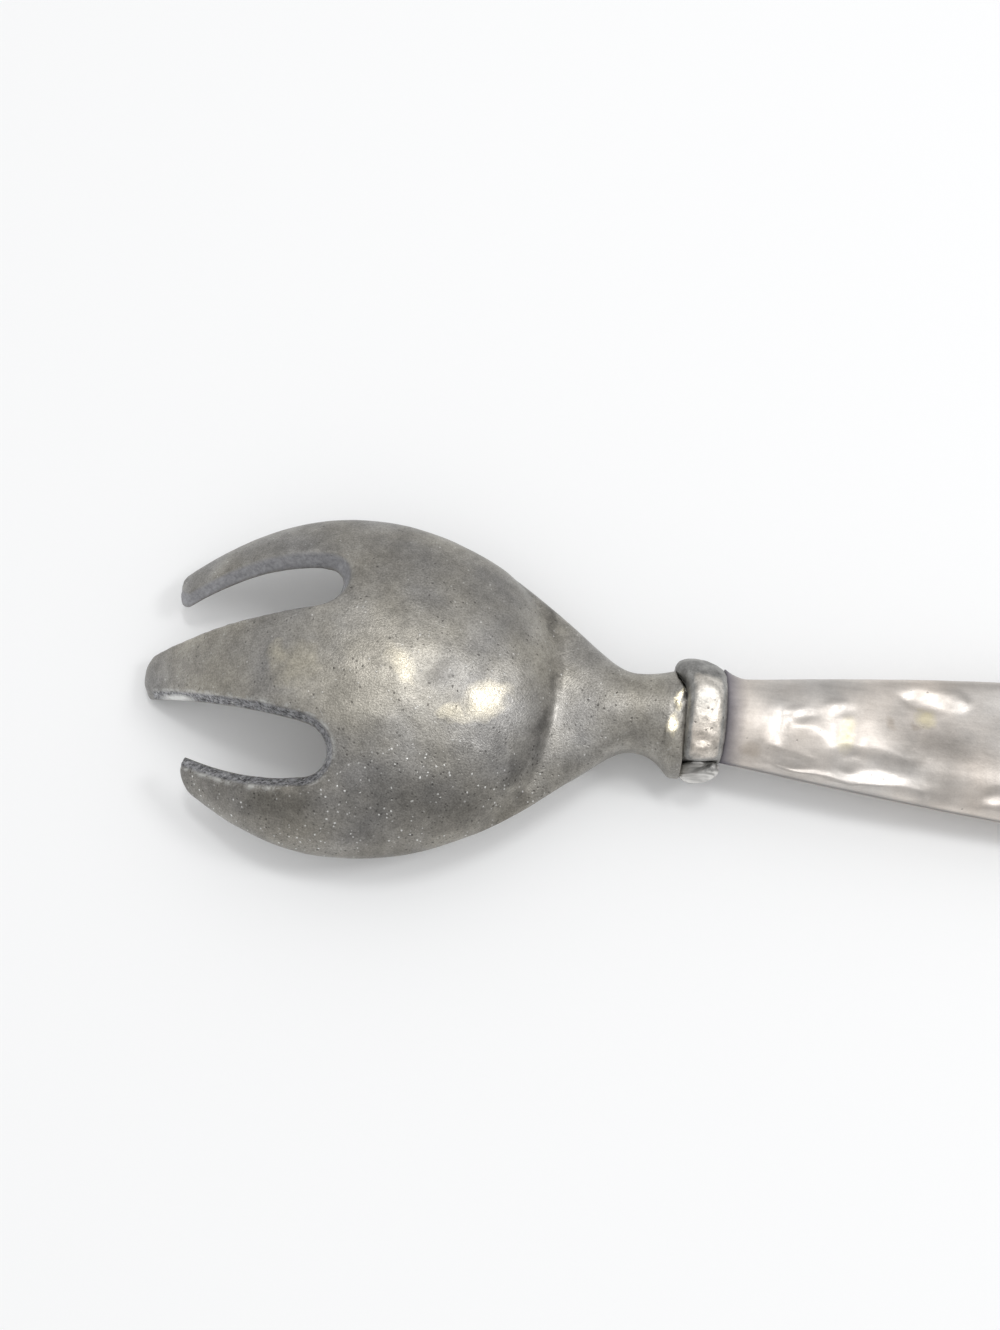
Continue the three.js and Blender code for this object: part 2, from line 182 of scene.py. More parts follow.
def in_range(tree, value, start, end, low=0.0, high=1.0):
    """Maps a value from one range to another and keeps it inside."""
    inputs = {"Value": value, "From Min": start, "From Max": end, "To Min": low, "To Max": high}
    return add_node(tree, "MapRange", inputs).outputs["Result"]


def calculate(tree, operation, first, second=0.0):
    return add_node(tree, "Math", {0: first, 1: second}, operation=operation).outputs["Value"]


world = bpy.data.worlds.new("studio")
world.use_nodes = True
tree = world.node_tree
towards = add_node(tree, "TexCoord").outputs["Generated"]
parts = add_node(tree, "SeparateXYZ", {"Vector": towards})
upwards = in_range(tree, parts.outputs["Z"], 0, 1, SIDES_GREY, OVERHEAD_GREY)
camera_side = in_range(tree, parts.outputs["Y"], *CAMERA_SIDE, CAMERA_SIDE_SHARE, 1)
room = calculate(tree, "MULTIPLY", upwards, camera_side)
tree.links.new(room, tree.nodes["Background"].inputs["Color"])
bpy.context.scene.world = world
print(f"room: {SIDES_GREY} at the sides, {OVERHEAD_GREY} overhead")

# %% [markdown]
# ## Helpers for modelling
# An operator acts on everything that is selected, so each step starts by clearing the selection. A sheet
# is a grid whose vertices are laid on a form: the place of each vertex is worked out from its row and
# its column, the way a sheet of metal is laid over a stake.


# %% Helpers for modelling: selecting and laying sheets
def start_fresh():
    if bpy.context.object and bpy.context.object.mode != "OBJECT":
        bpy.ops.object.mode_set(mode="OBJECT")
    bpy.ops.object.select_all(action="DESELECT")


def activate(piece):
    start_fresh()
    piece.select_set(True)
    bpy.context.view_layer.objects.active = piece


def lay_sheet(name, rows, columns, place):
    """A grid laid on a form, and the row and column of each of its vertices."""
    start_fresh()
    bpy.ops.mesh.primitive_grid_add(x_subdivisions=rows, y_subdivisions=columns, size=1)
    sheet = bpy.context.object
    sheet.name = sheet.data.name = name
    cells = []
    for vertex in sheet.data.vertices:
        row = round((vertex.co.x + 0.5) * rows)
        column = round((vertex.co.y + 0.5) * columns)
        cells.append((row, column))
        vertex.co = place(row, column)
    return sheet, cells


def edit_faces(piece, wanted):
    """Opens edit mode with only the faces selected that the test wants."""
    activate(piece)
    bpy.context.tool_settings.mesh_select_mode = (False, False, True)
    mesh = piece.data
    for element in (*mesh.vertices, *mesh.edges):
        element.select = False
    for face in mesh.polygons:
        face.select = bool(wanted(face))
    bpy.ops.object.mode_set(mode="EDIT")


# %% Helpers for modelling: closing and finishing
def close_up(piece, distance):
    """Merges vertices that lie together and turns all faces outwards."""
    edit_faces(piece, lambda face: True)
    bpy.ops.mesh.remove_doubles(threshold=distance)
    bpy.ops.mesh.normals_make_consistent(inside=False)
    bpy.ops.object.mode_set(mode="OBJECT")


def finish_with(piece, kind, **settings):
    """Adds a modifier, sets it and applies it."""
    activate(piece)
    bpy.ops.object.modifier_add(type=kind)
    modifier = piece.modifiers[-1]
    for key, value in settings.items():
        setattr(modifier, key, value)
    bpy.ops.object.modifier_apply(modifier=modifier.name)


def subdivide_smoothly(piece, levels):
    finish_with(piece, "SUBSURF", levels=levels, render_levels=levels)
    bpy.ops.object.shade_smooth()


def stand_on_table(piece):
    """Presses flat what would lie below the table."""
    for vertex in piece.data.vertices:
        vertex.co.z = max(0, vertex.co.z)


def triangles_in(piece):
    return sum(len(face.vertices) - 2 for face in piece.data.polygons)


# %% [markdown]
# ## Head
# The bowl, its tines and its neck are one casting. Its back is a sheet on a domed form, the inside of the
# bowl is a second sheet, and the slots are left open in both. Bridging the edges of the two sheets gives
# the casting its wall. A sculpted block would be looser; this way the outline stays that of the solid.

# %% Head: outline
NECK_AT = 93 * MM
SHOULDER_LENGTH = HEAD_LENGTH - NECK_AT
BOWL_WIDTH = 65 * MM
FRONT_REACH = (13.1 * MM, 16.5 * MM)
WIDEST_AT = 40 * MM
OUTLINE_FULLNESS = (1.09, 1.04)
OUTLINE_BLEND = 2.4
NECK_WIDTH = 14.6 * MM
SHOULDER_REACH = (11.3 * MM, 8.5 * MM)
FLARE_POWER = 2.4


def flare(along):
    """0 at the neck's waist, 1 at the shoulder that the strap sits against."""
    return min(1, max(0, (along - NECK_AT) / SHOULDER_LENGTH)) ** FLARE_POWER


def half_width(along, side):
    widest = BOWL_WIDTH / 2
    waist = NECK_WIDTH / 2
    if along < WIDEST_AT:
        return lerp(on_side(FRONT_REACH, side), widest, math.sin(QUARTER * along / WIDEST_AT))
    if along < NECK_AT:
        share = (along - WIDEST_AT) / (NECK_AT - WIDEST_AT)
        eased = (1 + math.cos(math.pi * share ** on_side(OUTLINE_FULLNESS, side))) / 2
        blended = lerp(waist**OUTLINE_BLEND, widest**OUTLINE_BLEND, eased)
        return blended ** (1 / OUTLINE_BLEND)
    return lerp(waist, on_side(SHOULDER_REACH, side), flare(along))


print(f"bowl {BOWL_WIDTH / MM:.0f} mm wide, neck {NECK_WIDTH / MM:.1f} mm")

# %% Head: dome and neck
DOME_HEIGHT = 16.3 * MM
SECTION_FULLNESS = 1.95
CROWN_AT = 46 * MM
DOME_BACK_REACH = 33.5 * MM
DOME_FRONT_RISE = 0.95
CREASE_SOFTNESS = 1.8 * MM
RIM_TURN = 8
TINE_DROOP = 7.3 * MM
DROOP_LENGTH = 30 * MM
SHOULDER_RISE = 7.4 * MM
NECK_FROM = 76 * MM
NECK_LOW = 4.3 * MM
NECK_CLIMB = 1.3
CREST_AT = 99 * MM
CREST_FALL = 0.3


def neck_rise(along):
    """Height of the neck: it climbs to a crest in front of the strap, then falls into the groove."""
    climbed = min(1, max(0, (along - NECK_FROM) / (CREST_AT - NECK_FROM))) ** NECK_CLIMB
    return lerp(NECK_LOW, SHOULDER_RISE, climbed) - CREST_FALL * max(0, along - CREST_AT)


def rim_level(along):
    return RIM_HEIGHT - TINE_DROOP * max(0, 1 - along / DROOP_LENGTH) ** 2


def domed(angle):
    left = max(0, 1 - abs(math.sin(angle)) ** SECTION_FULLNESS)
    return left ** (1 / SECTION_FULLNESS)


def back_height(along, angle):
    """Height of the back of the spoon over the rim."""
    if along < CROWN_AT:
        share = (max(0, along) / CROWN_AT) ** DOME_FRONT_RISE
        return DOME_HEIGHT * math.sin(QUARTER * share) * domed(angle)
    narrowed = half_width(along, angle) / half_width(CROWN_AT, angle)
    across = abs(math.sin(angle))
    behind = (along - CROWN_AT) / DOME_BACK_REACH
    at_rim = max(0, 1 - behind**2 - narrowed**SECTION_FULLNESS)
    left = 1 - behind**2 - (narrowed * across) ** SECTION_FULLNESS - at_rim * across**RIM_TURN
    dome = DOME_HEIGHT * max(0, left) ** (1 / SECTION_FULLNESS)
    neck = neck_rise(along) * domed(angle)
    softened = CREASE_SOFTNESS * domed(angle) * smoothstep(along, CROWN_AT, NECK_AT)
    return (dome + neck + math.hypot(dome - neck, softened)) / 2


def back_point(along, angle):
    y = half_width(along, angle) * math.sin(angle)
    return point(along, y, rim_level(along) + back_height(along, angle))


print(f"crown {(RIM_HEIGHT + DOME_HEIGHT) / MM:.1f} mm high")

# %% Head: inside of the bowl
BOWL_WALL = 4.2 * MM
RIM_WALL = 4.1 * MM
TIP_WALL = 3.4 * MM
HOLLOW_END = 62 * MM
CLOSING_SHARE = 0.75
HOLLOW_CLOSED = lerp(HOLLOW_END, NECK_AT, CLOSING_SHARE)
NECK_RISE = 5.6 * MM
NECK_FALL = 4.6 * MM
NECK_SIDE = 1 * MM


def wall_thickness(along):
    return lerp(TIP_WALL, BOWL_WALL, smoothstep(along, 0, WIDEST_AT))


def filled_in(along):
    """0 where the bowl is hollow, 1 where the neck is solid."""
    return smoothstep(along, HOLLOW_END, HOLLOW_CLOSED)


def rim_thickness(along):
    return RIM_WALL * wall_thickness(along) * (1 - filled_in(along)) / BOWL_WALL


def inside_point(along, angle):
    hollow = back_height(along, angle) - wall_thickness(along) * domed(angle)
    fall = NECK_FALL * lerp(1, SHOULDER_RISE / NECK_RISE, flare(along))
    solid = -NECK_SIDE - fall * domed(angle)
    y = (half_width(along, angle) - rim_thickness(along)) * math.sin(angle)
    return point(along, y, rim_level(along) + lerp(hollow, solid, filled_in(along)))


print(f"wall {TIP_WALL / MM:.1f} mm at the tips, {BOWL_WALL / MM:.1f} mm in the bowl")

# %% Head: tines and slots
CENTRE_TIP_WIDTH = 6.2 * MM
CENTRE_ROOT_WIDTH = 19.3 * MM
CENTRE_TIP_ROUND = 1.6 * MM
SIDE_TINE_REACH = (11.2 * MM, 5 * MM)
SIDE_TIP_WIDTH = (2.7 * MM, 5.1 * MM)
SIDE_ROOT_WIDTH = (9.4 * MM, 10.4 * MM)
SIDE_TIP_ROUND = (0.6 * MM, 2.2 * MM)
SIDE_TIP_SLANT = (2.4 * MM, 0)
SLOT_START = 33.6 * MM
SLOT_ROUND = (7.4 * MM, 6.1 * MM)
CENTRE_DRAFT = 1.1 * MM
SIDE_DRAFT = 2.5 * MM
ROOT_DRAFT = 2 * MM


def slot_angles(along, side, inner):
    """Angles of the centre tine's edge and of a side tine's inner edge, on the back or the inside."""
    straight = min(along, SLOT_START)
    reach = on_side(SIDE_TINE_REACH, side)
    width = half_width(straight, side)
    centre = lerp(CENTRE_TIP_WIDTH, CENTRE_ROOT_WIDTH, straight / SLOT_START) / 2
    share = max(0, (straight - reach) / (SLOT_START - reach))
    tine = lerp(on_side(SIDE_TIP_WIDTH, side), on_side(SIDE_ROOT_WIDTH, side), share)
    surface_width = width - inner * rim_thickness(straight)
    edges = (centre + inner * CENTRE_DRAFT, width - tine - inner * SIDE_DRAFT)
    return [math.asin(edge / surface_width) for edge in edges]


print(f"slots up to {(SLOT_START + max(SLOT_ROUND)) / MM:.1f} mm from the tip")

# %% Head: rows and columns
TINE_ROWS = 38
BOWL_ROWS = 60
NECK_ROWS = 20
CENTRE_COLUMNS = 10
SLOT_COLUMNS = 14
SIDE_COLUMNS = 12
HALF_COLUMNS = CENTRE_COLUMNS + SLOT_COLUMNS + SIDE_COLUMNS
HEAD_ROWS = TINE_ROWS + BOWL_ROWS + NECK_ROWS
CORNER_POWER = 3


def zone_of(column):
    """The zone that a column lies in, its share of that zone and its side."""
    steps = column - HALF_COLUMNS
    side = -1 if steps < 0 else 1
    steps = abs(steps)
    if steps <= CENTRE_COLUMNS:
        return "centre", steps / CENTRE_COLUMNS, side
    steps -= CENTRE_COLUMNS
    if steps <= SLOT_COLUMNS:
        return "slot", (1 - math.cos(math.pi * steps / SLOT_COLUMNS)) / 2, side
    return "side", (steps - SLOT_COLUMNS) / SIDE_COLUMNS, side


def steps_out(column):
    """-1 at the near edge of the grid, 0 in the middle, 1 at the far edge."""
    return column / HALF_COLUMNS - 1


def column_start(zone, share, side):
    """Where a column of the grid starts, with the corners of the tips rounded back."""
    if zone == "centre":
        return CENTRE_TIP_ROUND * share**CORNER_POWER
    if zone == "slot" and share < 1:
        return 0
    across = share if zone == "side" else 0
    rounded = on_side(SIDE_TIP_ROUND, side) * abs(2 * across - 1) ** CORNER_POWER
    return on_side(SIDE_TINE_REACH, side) + rounded + on_side(SIDE_TIP_SLANT, side) * across


print(f"grid: {HEAD_ROWS} rows, {2 * HALF_COLUMNS} columns")

# %% Head: lay the two sheets
PINCH = 2 * MM
PINCH_ENDS = (105, 165)
PINCH_STARTS = (300, 345)


def pinched(degrees):
    """1 where the strap is hammered narrow, on top and at its cut end, 0 at the far side and below."""
    return max(1 - smoothstep(degrees, *PINCH_ENDS), smoothstep(degrees, *PINCH_STARTS))


def head_place(row, column, inner):
    zone, share, side = zone_of(column)
    arch = math.sqrt(1 - (2 * share - 1) ** 2) if zone == "slot" else 0
    depth = (on_side(SLOT_ROUND, side) - inner * ROOT_DRAFT) * arch
    if row < TINE_ROWS:
        along = lerp(column_start(zone, share, side), SLOT_START, row / TINE_ROWS)
    elif row <= TINE_ROWS + BOWL_ROWS:
        passed = (row - TINE_ROWS) / BOWL_ROWS
        along = lerp(SLOT_START, NECK_AT, passed) + depth * (1 - passed) ** 2
    else:
        along = lerp(NECK_AT, HEAD_LENGTH, (row - TINE_ROWS - BOWL_ROWS) / NECK_ROWS)
        across = lerp(0, 90, steps_out(column))
        degrees = 270 - across if inner else 90 + across
        along += PINCH * pinched(degrees) * (along - NECK_AT) / SHOULDER_LENGTH
    centre, outer = slot_angles(along, side, inner)
    start, end = {"centre": (0, centre), "slot": (centre, outer), "side": (outer, QUARTER)}[zone]
    angle = side * lerp(start, end, share)
    return inside_point(along, angle) if inner else back_point(along, angle)


def head_sheet(name, inner):
    sheet, cells = lay_sheet(
        name, HEAD_ROWS, 2 * HALF_COLUMNS, lambda row, column: head_place(row, column, inner)
    )

    def in_slot(face):
        corners = [cells[index] for index in face.vertices]
        steps = [abs(column - HALF_COLUMNS) for row, column in corners]
        above = all(row <= TINE_ROWS for row, column in corners)
        return above and min(steps) >= CENTRE_COLUMNS and max(steps) <= CENTRE_COLUMNS + SLOT_COLUMNS

    edit_faces(sheet, in_slot)
    bpy.ops.mesh.delete(type="FACE")
    bpy.ops.object.mode_set(mode="OBJECT")
    return sheet


head = head_sheet("serving_head_cast", 0)
inside = head_sheet("bowl_inside", 1)
back_count = len(head.data.vertices)
print(f"back of the head: {back_count} vertices")

# %% Head: bridge the two sheets
WALL_CUTS = 3
SAME_PLACE = 0.001 * MM

activate(head)
inside.select_set(True)
bpy.ops.object.join()
sheets_count = len(head.data.vertices)
sheet_faces = len(head.data.polygons)
bpy.context.tool_settings.mesh_select_mode = (False, True, False)
bpy.ops.object.mode_set(mode="EDIT")
bpy.ops.mesh.select_all(action="DESELECT")
bpy.ops.mesh.select_non_manifold(
    use_wire=False, use_multi_face=False, use_non_contiguous=False, use_verts=False
)
bpy.ops.mesh.bridge_edge_loops(number_cuts=WALL_CUTS, interpolation="LINEAR")
bpy.ops.object.mode_set(mode="OBJECT")
close_up(head, SAME_PLACE)
print(f"head: {len(head.data.vertices)} vertices after the bridge")

# %% [markdown]
# A finish can't know by itself which faces are the walls of a slot. An attribute, a number kept for each
# vertex, tells it: 1 on these walls, and in a second attribute 1 along their edges.

# %% Head: mark the walls and the edges of the slots
TIP_END = 2.5 * MM


def lies_in_slot(place):
    """True on the walls that the slots are cut with, and false on the outer rim and the centre tip."""
    along = place.x - TIP_X
    if not TIP_END < along < SLOT_START + max(SLOT_ROUND):
        return False
    share = min(1, along / SLOT_START)
    tine = lerp(on_side(SIDE_TIP_WIDTH, place.y), on_side(SIDE_ROOT_WIDTH, place.y), share)
    return abs(place.y) < half_width(along, place.y) - tine / 2


def mark(piece, name, values):
    """Keeps a number for each vertex, which the finish reads later."""
    attribute = piece.data.attributes.new(name, "FLOAT", "POINT")
    attribute.data.foreach_set("value", values)


in_slot_wall = [
    float(vertex.index >= sheets_count and lies_in_slot(vertex.co)) for vertex in head.data.vertices
]
slot_edge = [0.0] * len(in_slot_wall)
for edge in head.data.edges:
    first, second = sorted(edge.vertices)
    if first < back_count and in_slot_wall[second]:
        slot_edge[first] = 1.0
mark(head, "slot_wall", in_slot_wall)
mark(head, "slot_edge", slot_edge)
rough_wall = head.vertex_groups.new(name="slot_wall")
rough_wall.add([index for index, is_wall in enumerate(in_slot_wall) if is_wall], 1, "REPLACE")
print(f"slot walls: {int(sum(in_slot_wall))} vertices, edges: {int(sum(slot_edge))}")

# %% [markdown]
# The neck ends in a shoulder. Behind it the casting goes on as a spigot under the strap and a tang in the
# handle. The end faces are extruded again and again, and each extrusion is sized to the next section.

# %% Head: shoulder, spigot and tang
SHOULDER_EDGE = 0.5 * MM
SPIGOT_WIDTH = 14.8 * MM
SPIGOT_HEIGHT = 11.6 * MM
TANG_WIDTH = 7 * MM
TANG_HEIGHT = 4.4 * MM
TANG_LENGTH = 58 * MM
TANG_TIP_SHARE = 0.7
TANG_DROP = 2 * MM
TANG_STEPS = 4
FACES_BACK = 0.5


def extrude_section(move=(0, 0, 0), scale=(1, 1), centre=(0, 0, 0)):
    bpy.ops.mesh.extrude_region_move(TRANSFORM_OT_translate={"value": move, "orient_type": "GLOBAL"})
    bpy.ops.transform.resize(value=(1, *scale), center_override=centre, orient_type="GLOBAL")


shoulder_x = TIP_X + HEAD_LENGTH
shoulder_width = sum(SHOULDER_REACH)
shoulder_height = SHOULDER_RISE + NECK_SIDE + NECK_FALL * SHOULDER_RISE / NECK_RISE
shoulder_middle = (shoulder_x, (SHOULDER_REACH[1] - SHOULDER_REACH[0]) / 2, RIM_HEIGHT)
joint_middle = (TIP_X + JOINT_AT, 0, RIM_HEIGHT)
rim_share = (1 - 2 * SHOULDER_EDGE / shoulder_width, 1 - 2 * SHOULDER_EDGE / shoulder_height)
spigot_share = (SPIGOT_WIDTH / shoulder_width, SPIGOT_HEIGHT / shoulder_height)
to_centre = (0, -shoulder_middle[1], 0)
spigot_end = (TIP_X + JOINT_AT - CLEARANCE / 2, 0, RIM_HEIGHT)


def closes_shoulder(face):
    at_end = face.center.x > shoulder_x - SHOULDER_EDGE
    return face.index >= sheet_faces and face.normal.x > FACES_BACK and at_end


edit_faces(head, closes_shoulder)
extrude_section(scale=rim_share, centre=shoulder_middle)
extrude_section(scale=[b / a for a, b in zip(rim_share, spigot_share)], centre=shoulder_middle)
bpy.ops.transform.translate(value=to_centre, orient_type="GLOBAL")
extrude_section()
bpy.ops.transform.resize(value=(0, 1, 1), center_override=spigot_end, orient_type="GLOBAL")
extrude_section(scale=(TANG_WIDTH / SPIGOT_WIDTH, TANG_HEIGHT / SPIGOT_HEIGHT), centre=joint_middle)
for _ in range(TANG_STEPS):
    taper = TANG_TIP_SHARE ** (1 / TANG_STEPS)
    step = (TANG_LENGTH / TANG_STEPS, 0, -TANG_DROP / TANG_STEPS)
    extrude_section(move=step, scale=(taper, taper), centre=joint_middle)
bpy.ops.object.mode_set(mode="OBJECT")
print(f"head and tang: {head.dimensions.x / MM:.1f} mm long")

# %% [markdown]
# A casting is never quite even. Two cloud textures push its skin in and out by a fraction of a millimetre,
# and a finer one roughens the slot walls, which were cut and left as they were.

# %% Head: casting's uneven skin
UNEVEN = {
    "slow_swell": {"noise_scale": 14 * MM, "strength": 0.35 * MM},
    "small_lumps": {"noise_scale": 4.5 * MM, "strength": 0.07 * MM},
    "cut_wall": {"noise_scale": 1.3 * MM, "strength": 0.45 * MM, "vertex_group": "slot_wall"},
}


def uneven(piece, name, noise_scale, strength, vertex_group=""):
    texture = bpy.data.textures.new(name, "CLOUDS")
    texture.noise_scale = noise_scale
    finish_with(
        piece, "DISPLACE", texture=texture, strength=strength, mid_level=0.5, vertex_group=vertex_group
    )


subdivide_smoothly(head, 1)
for name, settings in UNEVEN.items():
    uneven(head, name, **settings)
stand_on_table(head)
print(f"head: {triangles_in(head)} triangles")

# %% [markdown]
# Each blow of a hammer leaves a small flat. The flats that flash in the photo are turned so that they
# mirror one of the lamps, and the others only level the curve a little. By hand this would be a
# sculpting brush; here every flat has a place, a length, a width and a turn, in millimetres and degrees.
# The head has two, on the crest in front of the strap.

# %% Head: flats on the shoulder
MARK_CORE = 0.4
MARK_REACH = 1.4
DEEPEST_MARK = 0.6
FACES_UP = 0.2
RAGGED = 0.15
RAGGED_SIZE = 2.2 * MM
HEAD_MARKS = (
    {"at": (100.6, 1.6), "size": (0.8, 2.4), "turn": -12, "mirrors": "side_lamp"},
    {"at": (99.5, -3.4), "size": (1.1, 2.6), "turn": -12, "mirrors": "side_lamp"},
)


def hammer(sheet, at, size, turn, mirrors=None, tilt=(0, 0), deepest=DEEPEST_MARK):
    """Levels the top of a piece to a flat: square between lamp and camera, or tilted by some degrees."""
    middle = point(at[0] * MM, at[1] * MM, RIM_HEIGHT)
    upper = [vertex for vertex in sheet.data.vertices if vertex.normal.z > FACES_UP]
    nearest = min(upper, key=lambda vertex: (vertex.co - middle).xy.length)
    middle = nearest.co.copy()
    normal = nearest.normal.copy()
    if mirrors:
        to_lamp = (lamp_places[mirrors] - middle).normalized()
        to_camera = (camera.location - middle).normalized()
        normal = (to_lamp + to_camera).normalized()
    normal += Vector((math.radians(tilt[0]), math.radians(tilt[1]), 0))
    turned = math.radians(turn)
    for vertex in upper:
        x, y, _ = vertex.co - middle
        lengthways = (x * math.cos(turned) + y * math.sin(turned)) / (size[0] * MM)
        sideways = (y * math.cos(turned) - x * math.sin(turned)) / (size[1] * MM)
        ragged = 1 + RAGGED * lumps.noise(vertex.co / RAGGED_SIZE)
        share = 1 - smoothstep(math.hypot(lengthways, sideways) * ragged, MARK_CORE, MARK_REACH)
        flat = middle.z - (normal.x * x + normal.y * y) / normal.z
        change = (flat - vertex.co.z) * share
        vertex.co.z += max(-deepest * MM, min(deepest * MM, change))


for head_mark in HEAD_MARKS:
    hammer(head, **head_mark)
print(f"{len(HEAD_MARKS)} flats on the shoulder")

# %% [markdown]
# ## Strap
# The strap is a half-round strip, bent once round the joint. Its start is hammered thin, and its cut end
# is lapped over that start on the near side. On top it is hammered narrow, and the neck's shoulder
# follows its edge. A strip could be bent along a curve; a sheet that is rolled up by formula keeps the
# lap where the solid has it. Degrees are counted round the joint, from the near side over the top.

# %% Strap: form
STRAP_THICKNESS = 3.3 * MM
STRAP_SPREAD = 0.45 * MM
STRAP_START = -28
STRAP_END = 368
SCARF_THICKNESS = 0.5 * MM
SCARF = (8, 40)
LAP = (270, 328)
BLUNT_FROM = 350
BLUNT_SHARE = 0.62
END_SKEW = 7
SKEW_FROM = 320
STRAP_ROWS = 200
ARC_COLUMNS = 22
FLAT_COLUMNS = 8
BACK_FULLNESS = 0.55
BACK_SLOPE = 0.2
CREST_STARTS = (22, 45)
CREST_ENDS = (118, 134)
CREST_EDGE = (0.5, 0.86)


def strap_place(row, column):
    bend = math.pi * min(column, ARC_COLUMNS) / ARC_COLUMNS
    across = -math.cos(bend) - 2 * max(0, column - ARC_COLUMNS) / FLAT_COLUMNS
    degrees = lerp(STRAP_START, STRAP_END, row / STRAP_ROWS)
    turn = math.radians(degrees + END_SKEW * across * smoothstep(degrees, SKEW_FROM, STRAP_END))
    thickness = lerp(SCARF_THICKNESS, STRAP_THICKNESS, smoothstep(degrees, *SCARF))
    lift = smoothstep(degrees, *LAP) * (SCARF_THICKNESS + CLEARANCE)
    pinch = PINCH * pinched(degrees)
    past = max(0, (degrees - BLUNT_FROM) / (STRAP_END - BLUNT_FROM))
    blunted = lerp(BLUNT_SHARE, 1, math.sqrt(1 - past**2))
    half = ((STRAP_WIDTH - pinch) / 2 + STRAP_SPREAD) * blunted
    along = JOINT_AT + pinch / 2 + half * across
    slope = 1 - BACK_SLOPE * across
    rise = thickness * blunted * slope * max(0, math.sin(bend)) ** BACK_FULLNESS
    away = CLEARANCE + lift + rise
    y = -(SPIGOT_WIDTH / 2 + away) * math.cos(turn)
    z = RIM_HEIGHT + (SPIGOT_HEIGHT / 2 + away) * math.sin(turn)
    return point(along, y, z)


def crest_share(row, column):
    """1 on the back of the strap where it lies on top, 0 on its flanks and round the sides."""
    degrees = lerp(STRAP_START, STRAP_END, row / STRAP_ROWS)
    bend = math.pi * min(column, ARC_COLUMNS) / ARC_COLUMNS
    on_top = smoothstep(degrees, *CREST_STARTS) * (1 - smoothstep(degrees, *CREST_ENDS))
    return on_top * smoothstep(math.sin(bend), *CREST_EDGE)


print(f"strap {STRAP_THICKNESS / MM:.1f} mm thick, turned through {STRAP_END - STRAP_START} degrees")

# %% Strap: roll it up and close its ends
CUT_EDGE = 0.25 * MM
NEARLY_SAME_PLACE = 0.01 * MM

strap, cells = lay_sheet("collar_strap_bent", STRAP_ROWS, ARC_COLUMNS + FLAT_COLUMNS, strap_place)
# The crest marks where the strap's back is rubbed bright and painted lighter as a highlight.
mark(strap, "crest", [crest_share(*cell) for cell in cells])
close_up(strap, NEARLY_SAME_PLACE)
faces_before = len(strap.data.polygons)
edit_faces(strap, lambda face: True)
bpy.ops.mesh.fill_holes(sides=0)
bpy.ops.object.mode_set(mode="OBJECT")
edit_faces(strap, lambda face: face.index >= faces_before)
for _ in range(2):
    bpy.ops.mesh.inset(thickness=CUT_EDGE, use_individual=True)
bpy.ops.object.mode_set(mode="OBJECT")
close_up(strap, SAME_PLACE)
print(f"strap: {len(strap.data.polygons)} faces")

# %% Strap: mark the cut end
LAP_REACH = SPIGOT_WIDTH / 2 + CLEARANCE + SCARF_THICKNESS + CLEARANCE / 2


def lies_on_cut(place):
    degrees = math.degrees(math.atan2(place.z - RIM_HEIGHT, -place.y))
    return -place.y > LAP_REACH and BLUNT_FROM < degrees + 360 < STRAP_END + 1


cut_end = [float(lies_on_cut(vertex.co)) for vertex in strap.data.vertices]
mark(strap, "cut_end", cut_end)
print(f"cut end: {int(sum(cut_end))} corners")

# %% Strap: hammer marks
STRAP_LUMPS = {"noise_scale": 2.6 * MM, "strength": 0.3 * MM}
STRAP_MARKS = (
    {"at": (105.5, 1.8), "size": (2.4, 3.2), "turn": 8, "mirrors": "top_lamp"},
    {"at": (104.9, -6.8), "size": (1.8, 1.4), "turn": 10, "mirrors": "top_lamp"},
)

subdivide_smoothly(strap, 1)
uneven(strap, "strap_hammering", **STRAP_LUMPS)
for strap_mark in STRAP_MARKS:
    hammer(strap, **strap_mark)
print(f"strap: {triangles_in(strap)} triangles, {len(STRAP_MARKS)} hammer marks")

# %% [markdown]
# ## Handle
# The handle is two thin shells, soldered along the edges over a filled core. Each is a sheet laid on half
# of an oval that grows squarer towards the grip. A part of the upper half was beaten to a broad flat that
# slopes down to the far side. Solidify gives each sheet its thickness inwards. Two closed solids would do
# from outside, but the sheets leave the room that the filler takes.

# %% Handle: form
ROOT_SIDE_STEP = 0.3 * MM
ROOT_TOP_STEP = 1 * MM
ROOT_FLARE = 2.1 * MM
ROOT_FLARE_LENGTH = 4.5 * MM
ROOT_DIP = 0.55 * MM
ROOT_DIP_LENGTH = 3.5 * MM
GRIP_WIDTH = 29 * MM
GRIP_HEIGHT = 8.2 * MM
SWELL_LENGTH = 88 * MM
END_ROUND = 20 * MM
END_THINNING = 0.55
HEEL_SINK = 0.35 * MM
HEEL_AT = SPOON_LENGTH - END_ROUND
SEAM = 0.2 * MM
LEVEL_POWER = 1.15
SLANT = 0.19
SLANT_POWER = 4
SLANT_FROM = (133 * MM, 141 * MM)
SLANT_TO = (165 * MM, 210 * MM)
ROOT_WIDTH = SPIGOT_WIDTH + 2 * ROOT_SIDE_STEP
ROOT_HEIGHT = SPIGOT_HEIGHT + 2 * ROOT_TOP_STEP
OVAL_POWER = 2
GRIP_POWER = 3


def handle_level(along):
    share = min(1, max(0, (along - ROOT_AT) / (HEEL_AT - ROOT_AT)))
    return lerp(RIM_HEIGHT, GRIP_HEIGHT / 2 - HEEL_SINK, share**LEVEL_POWER)


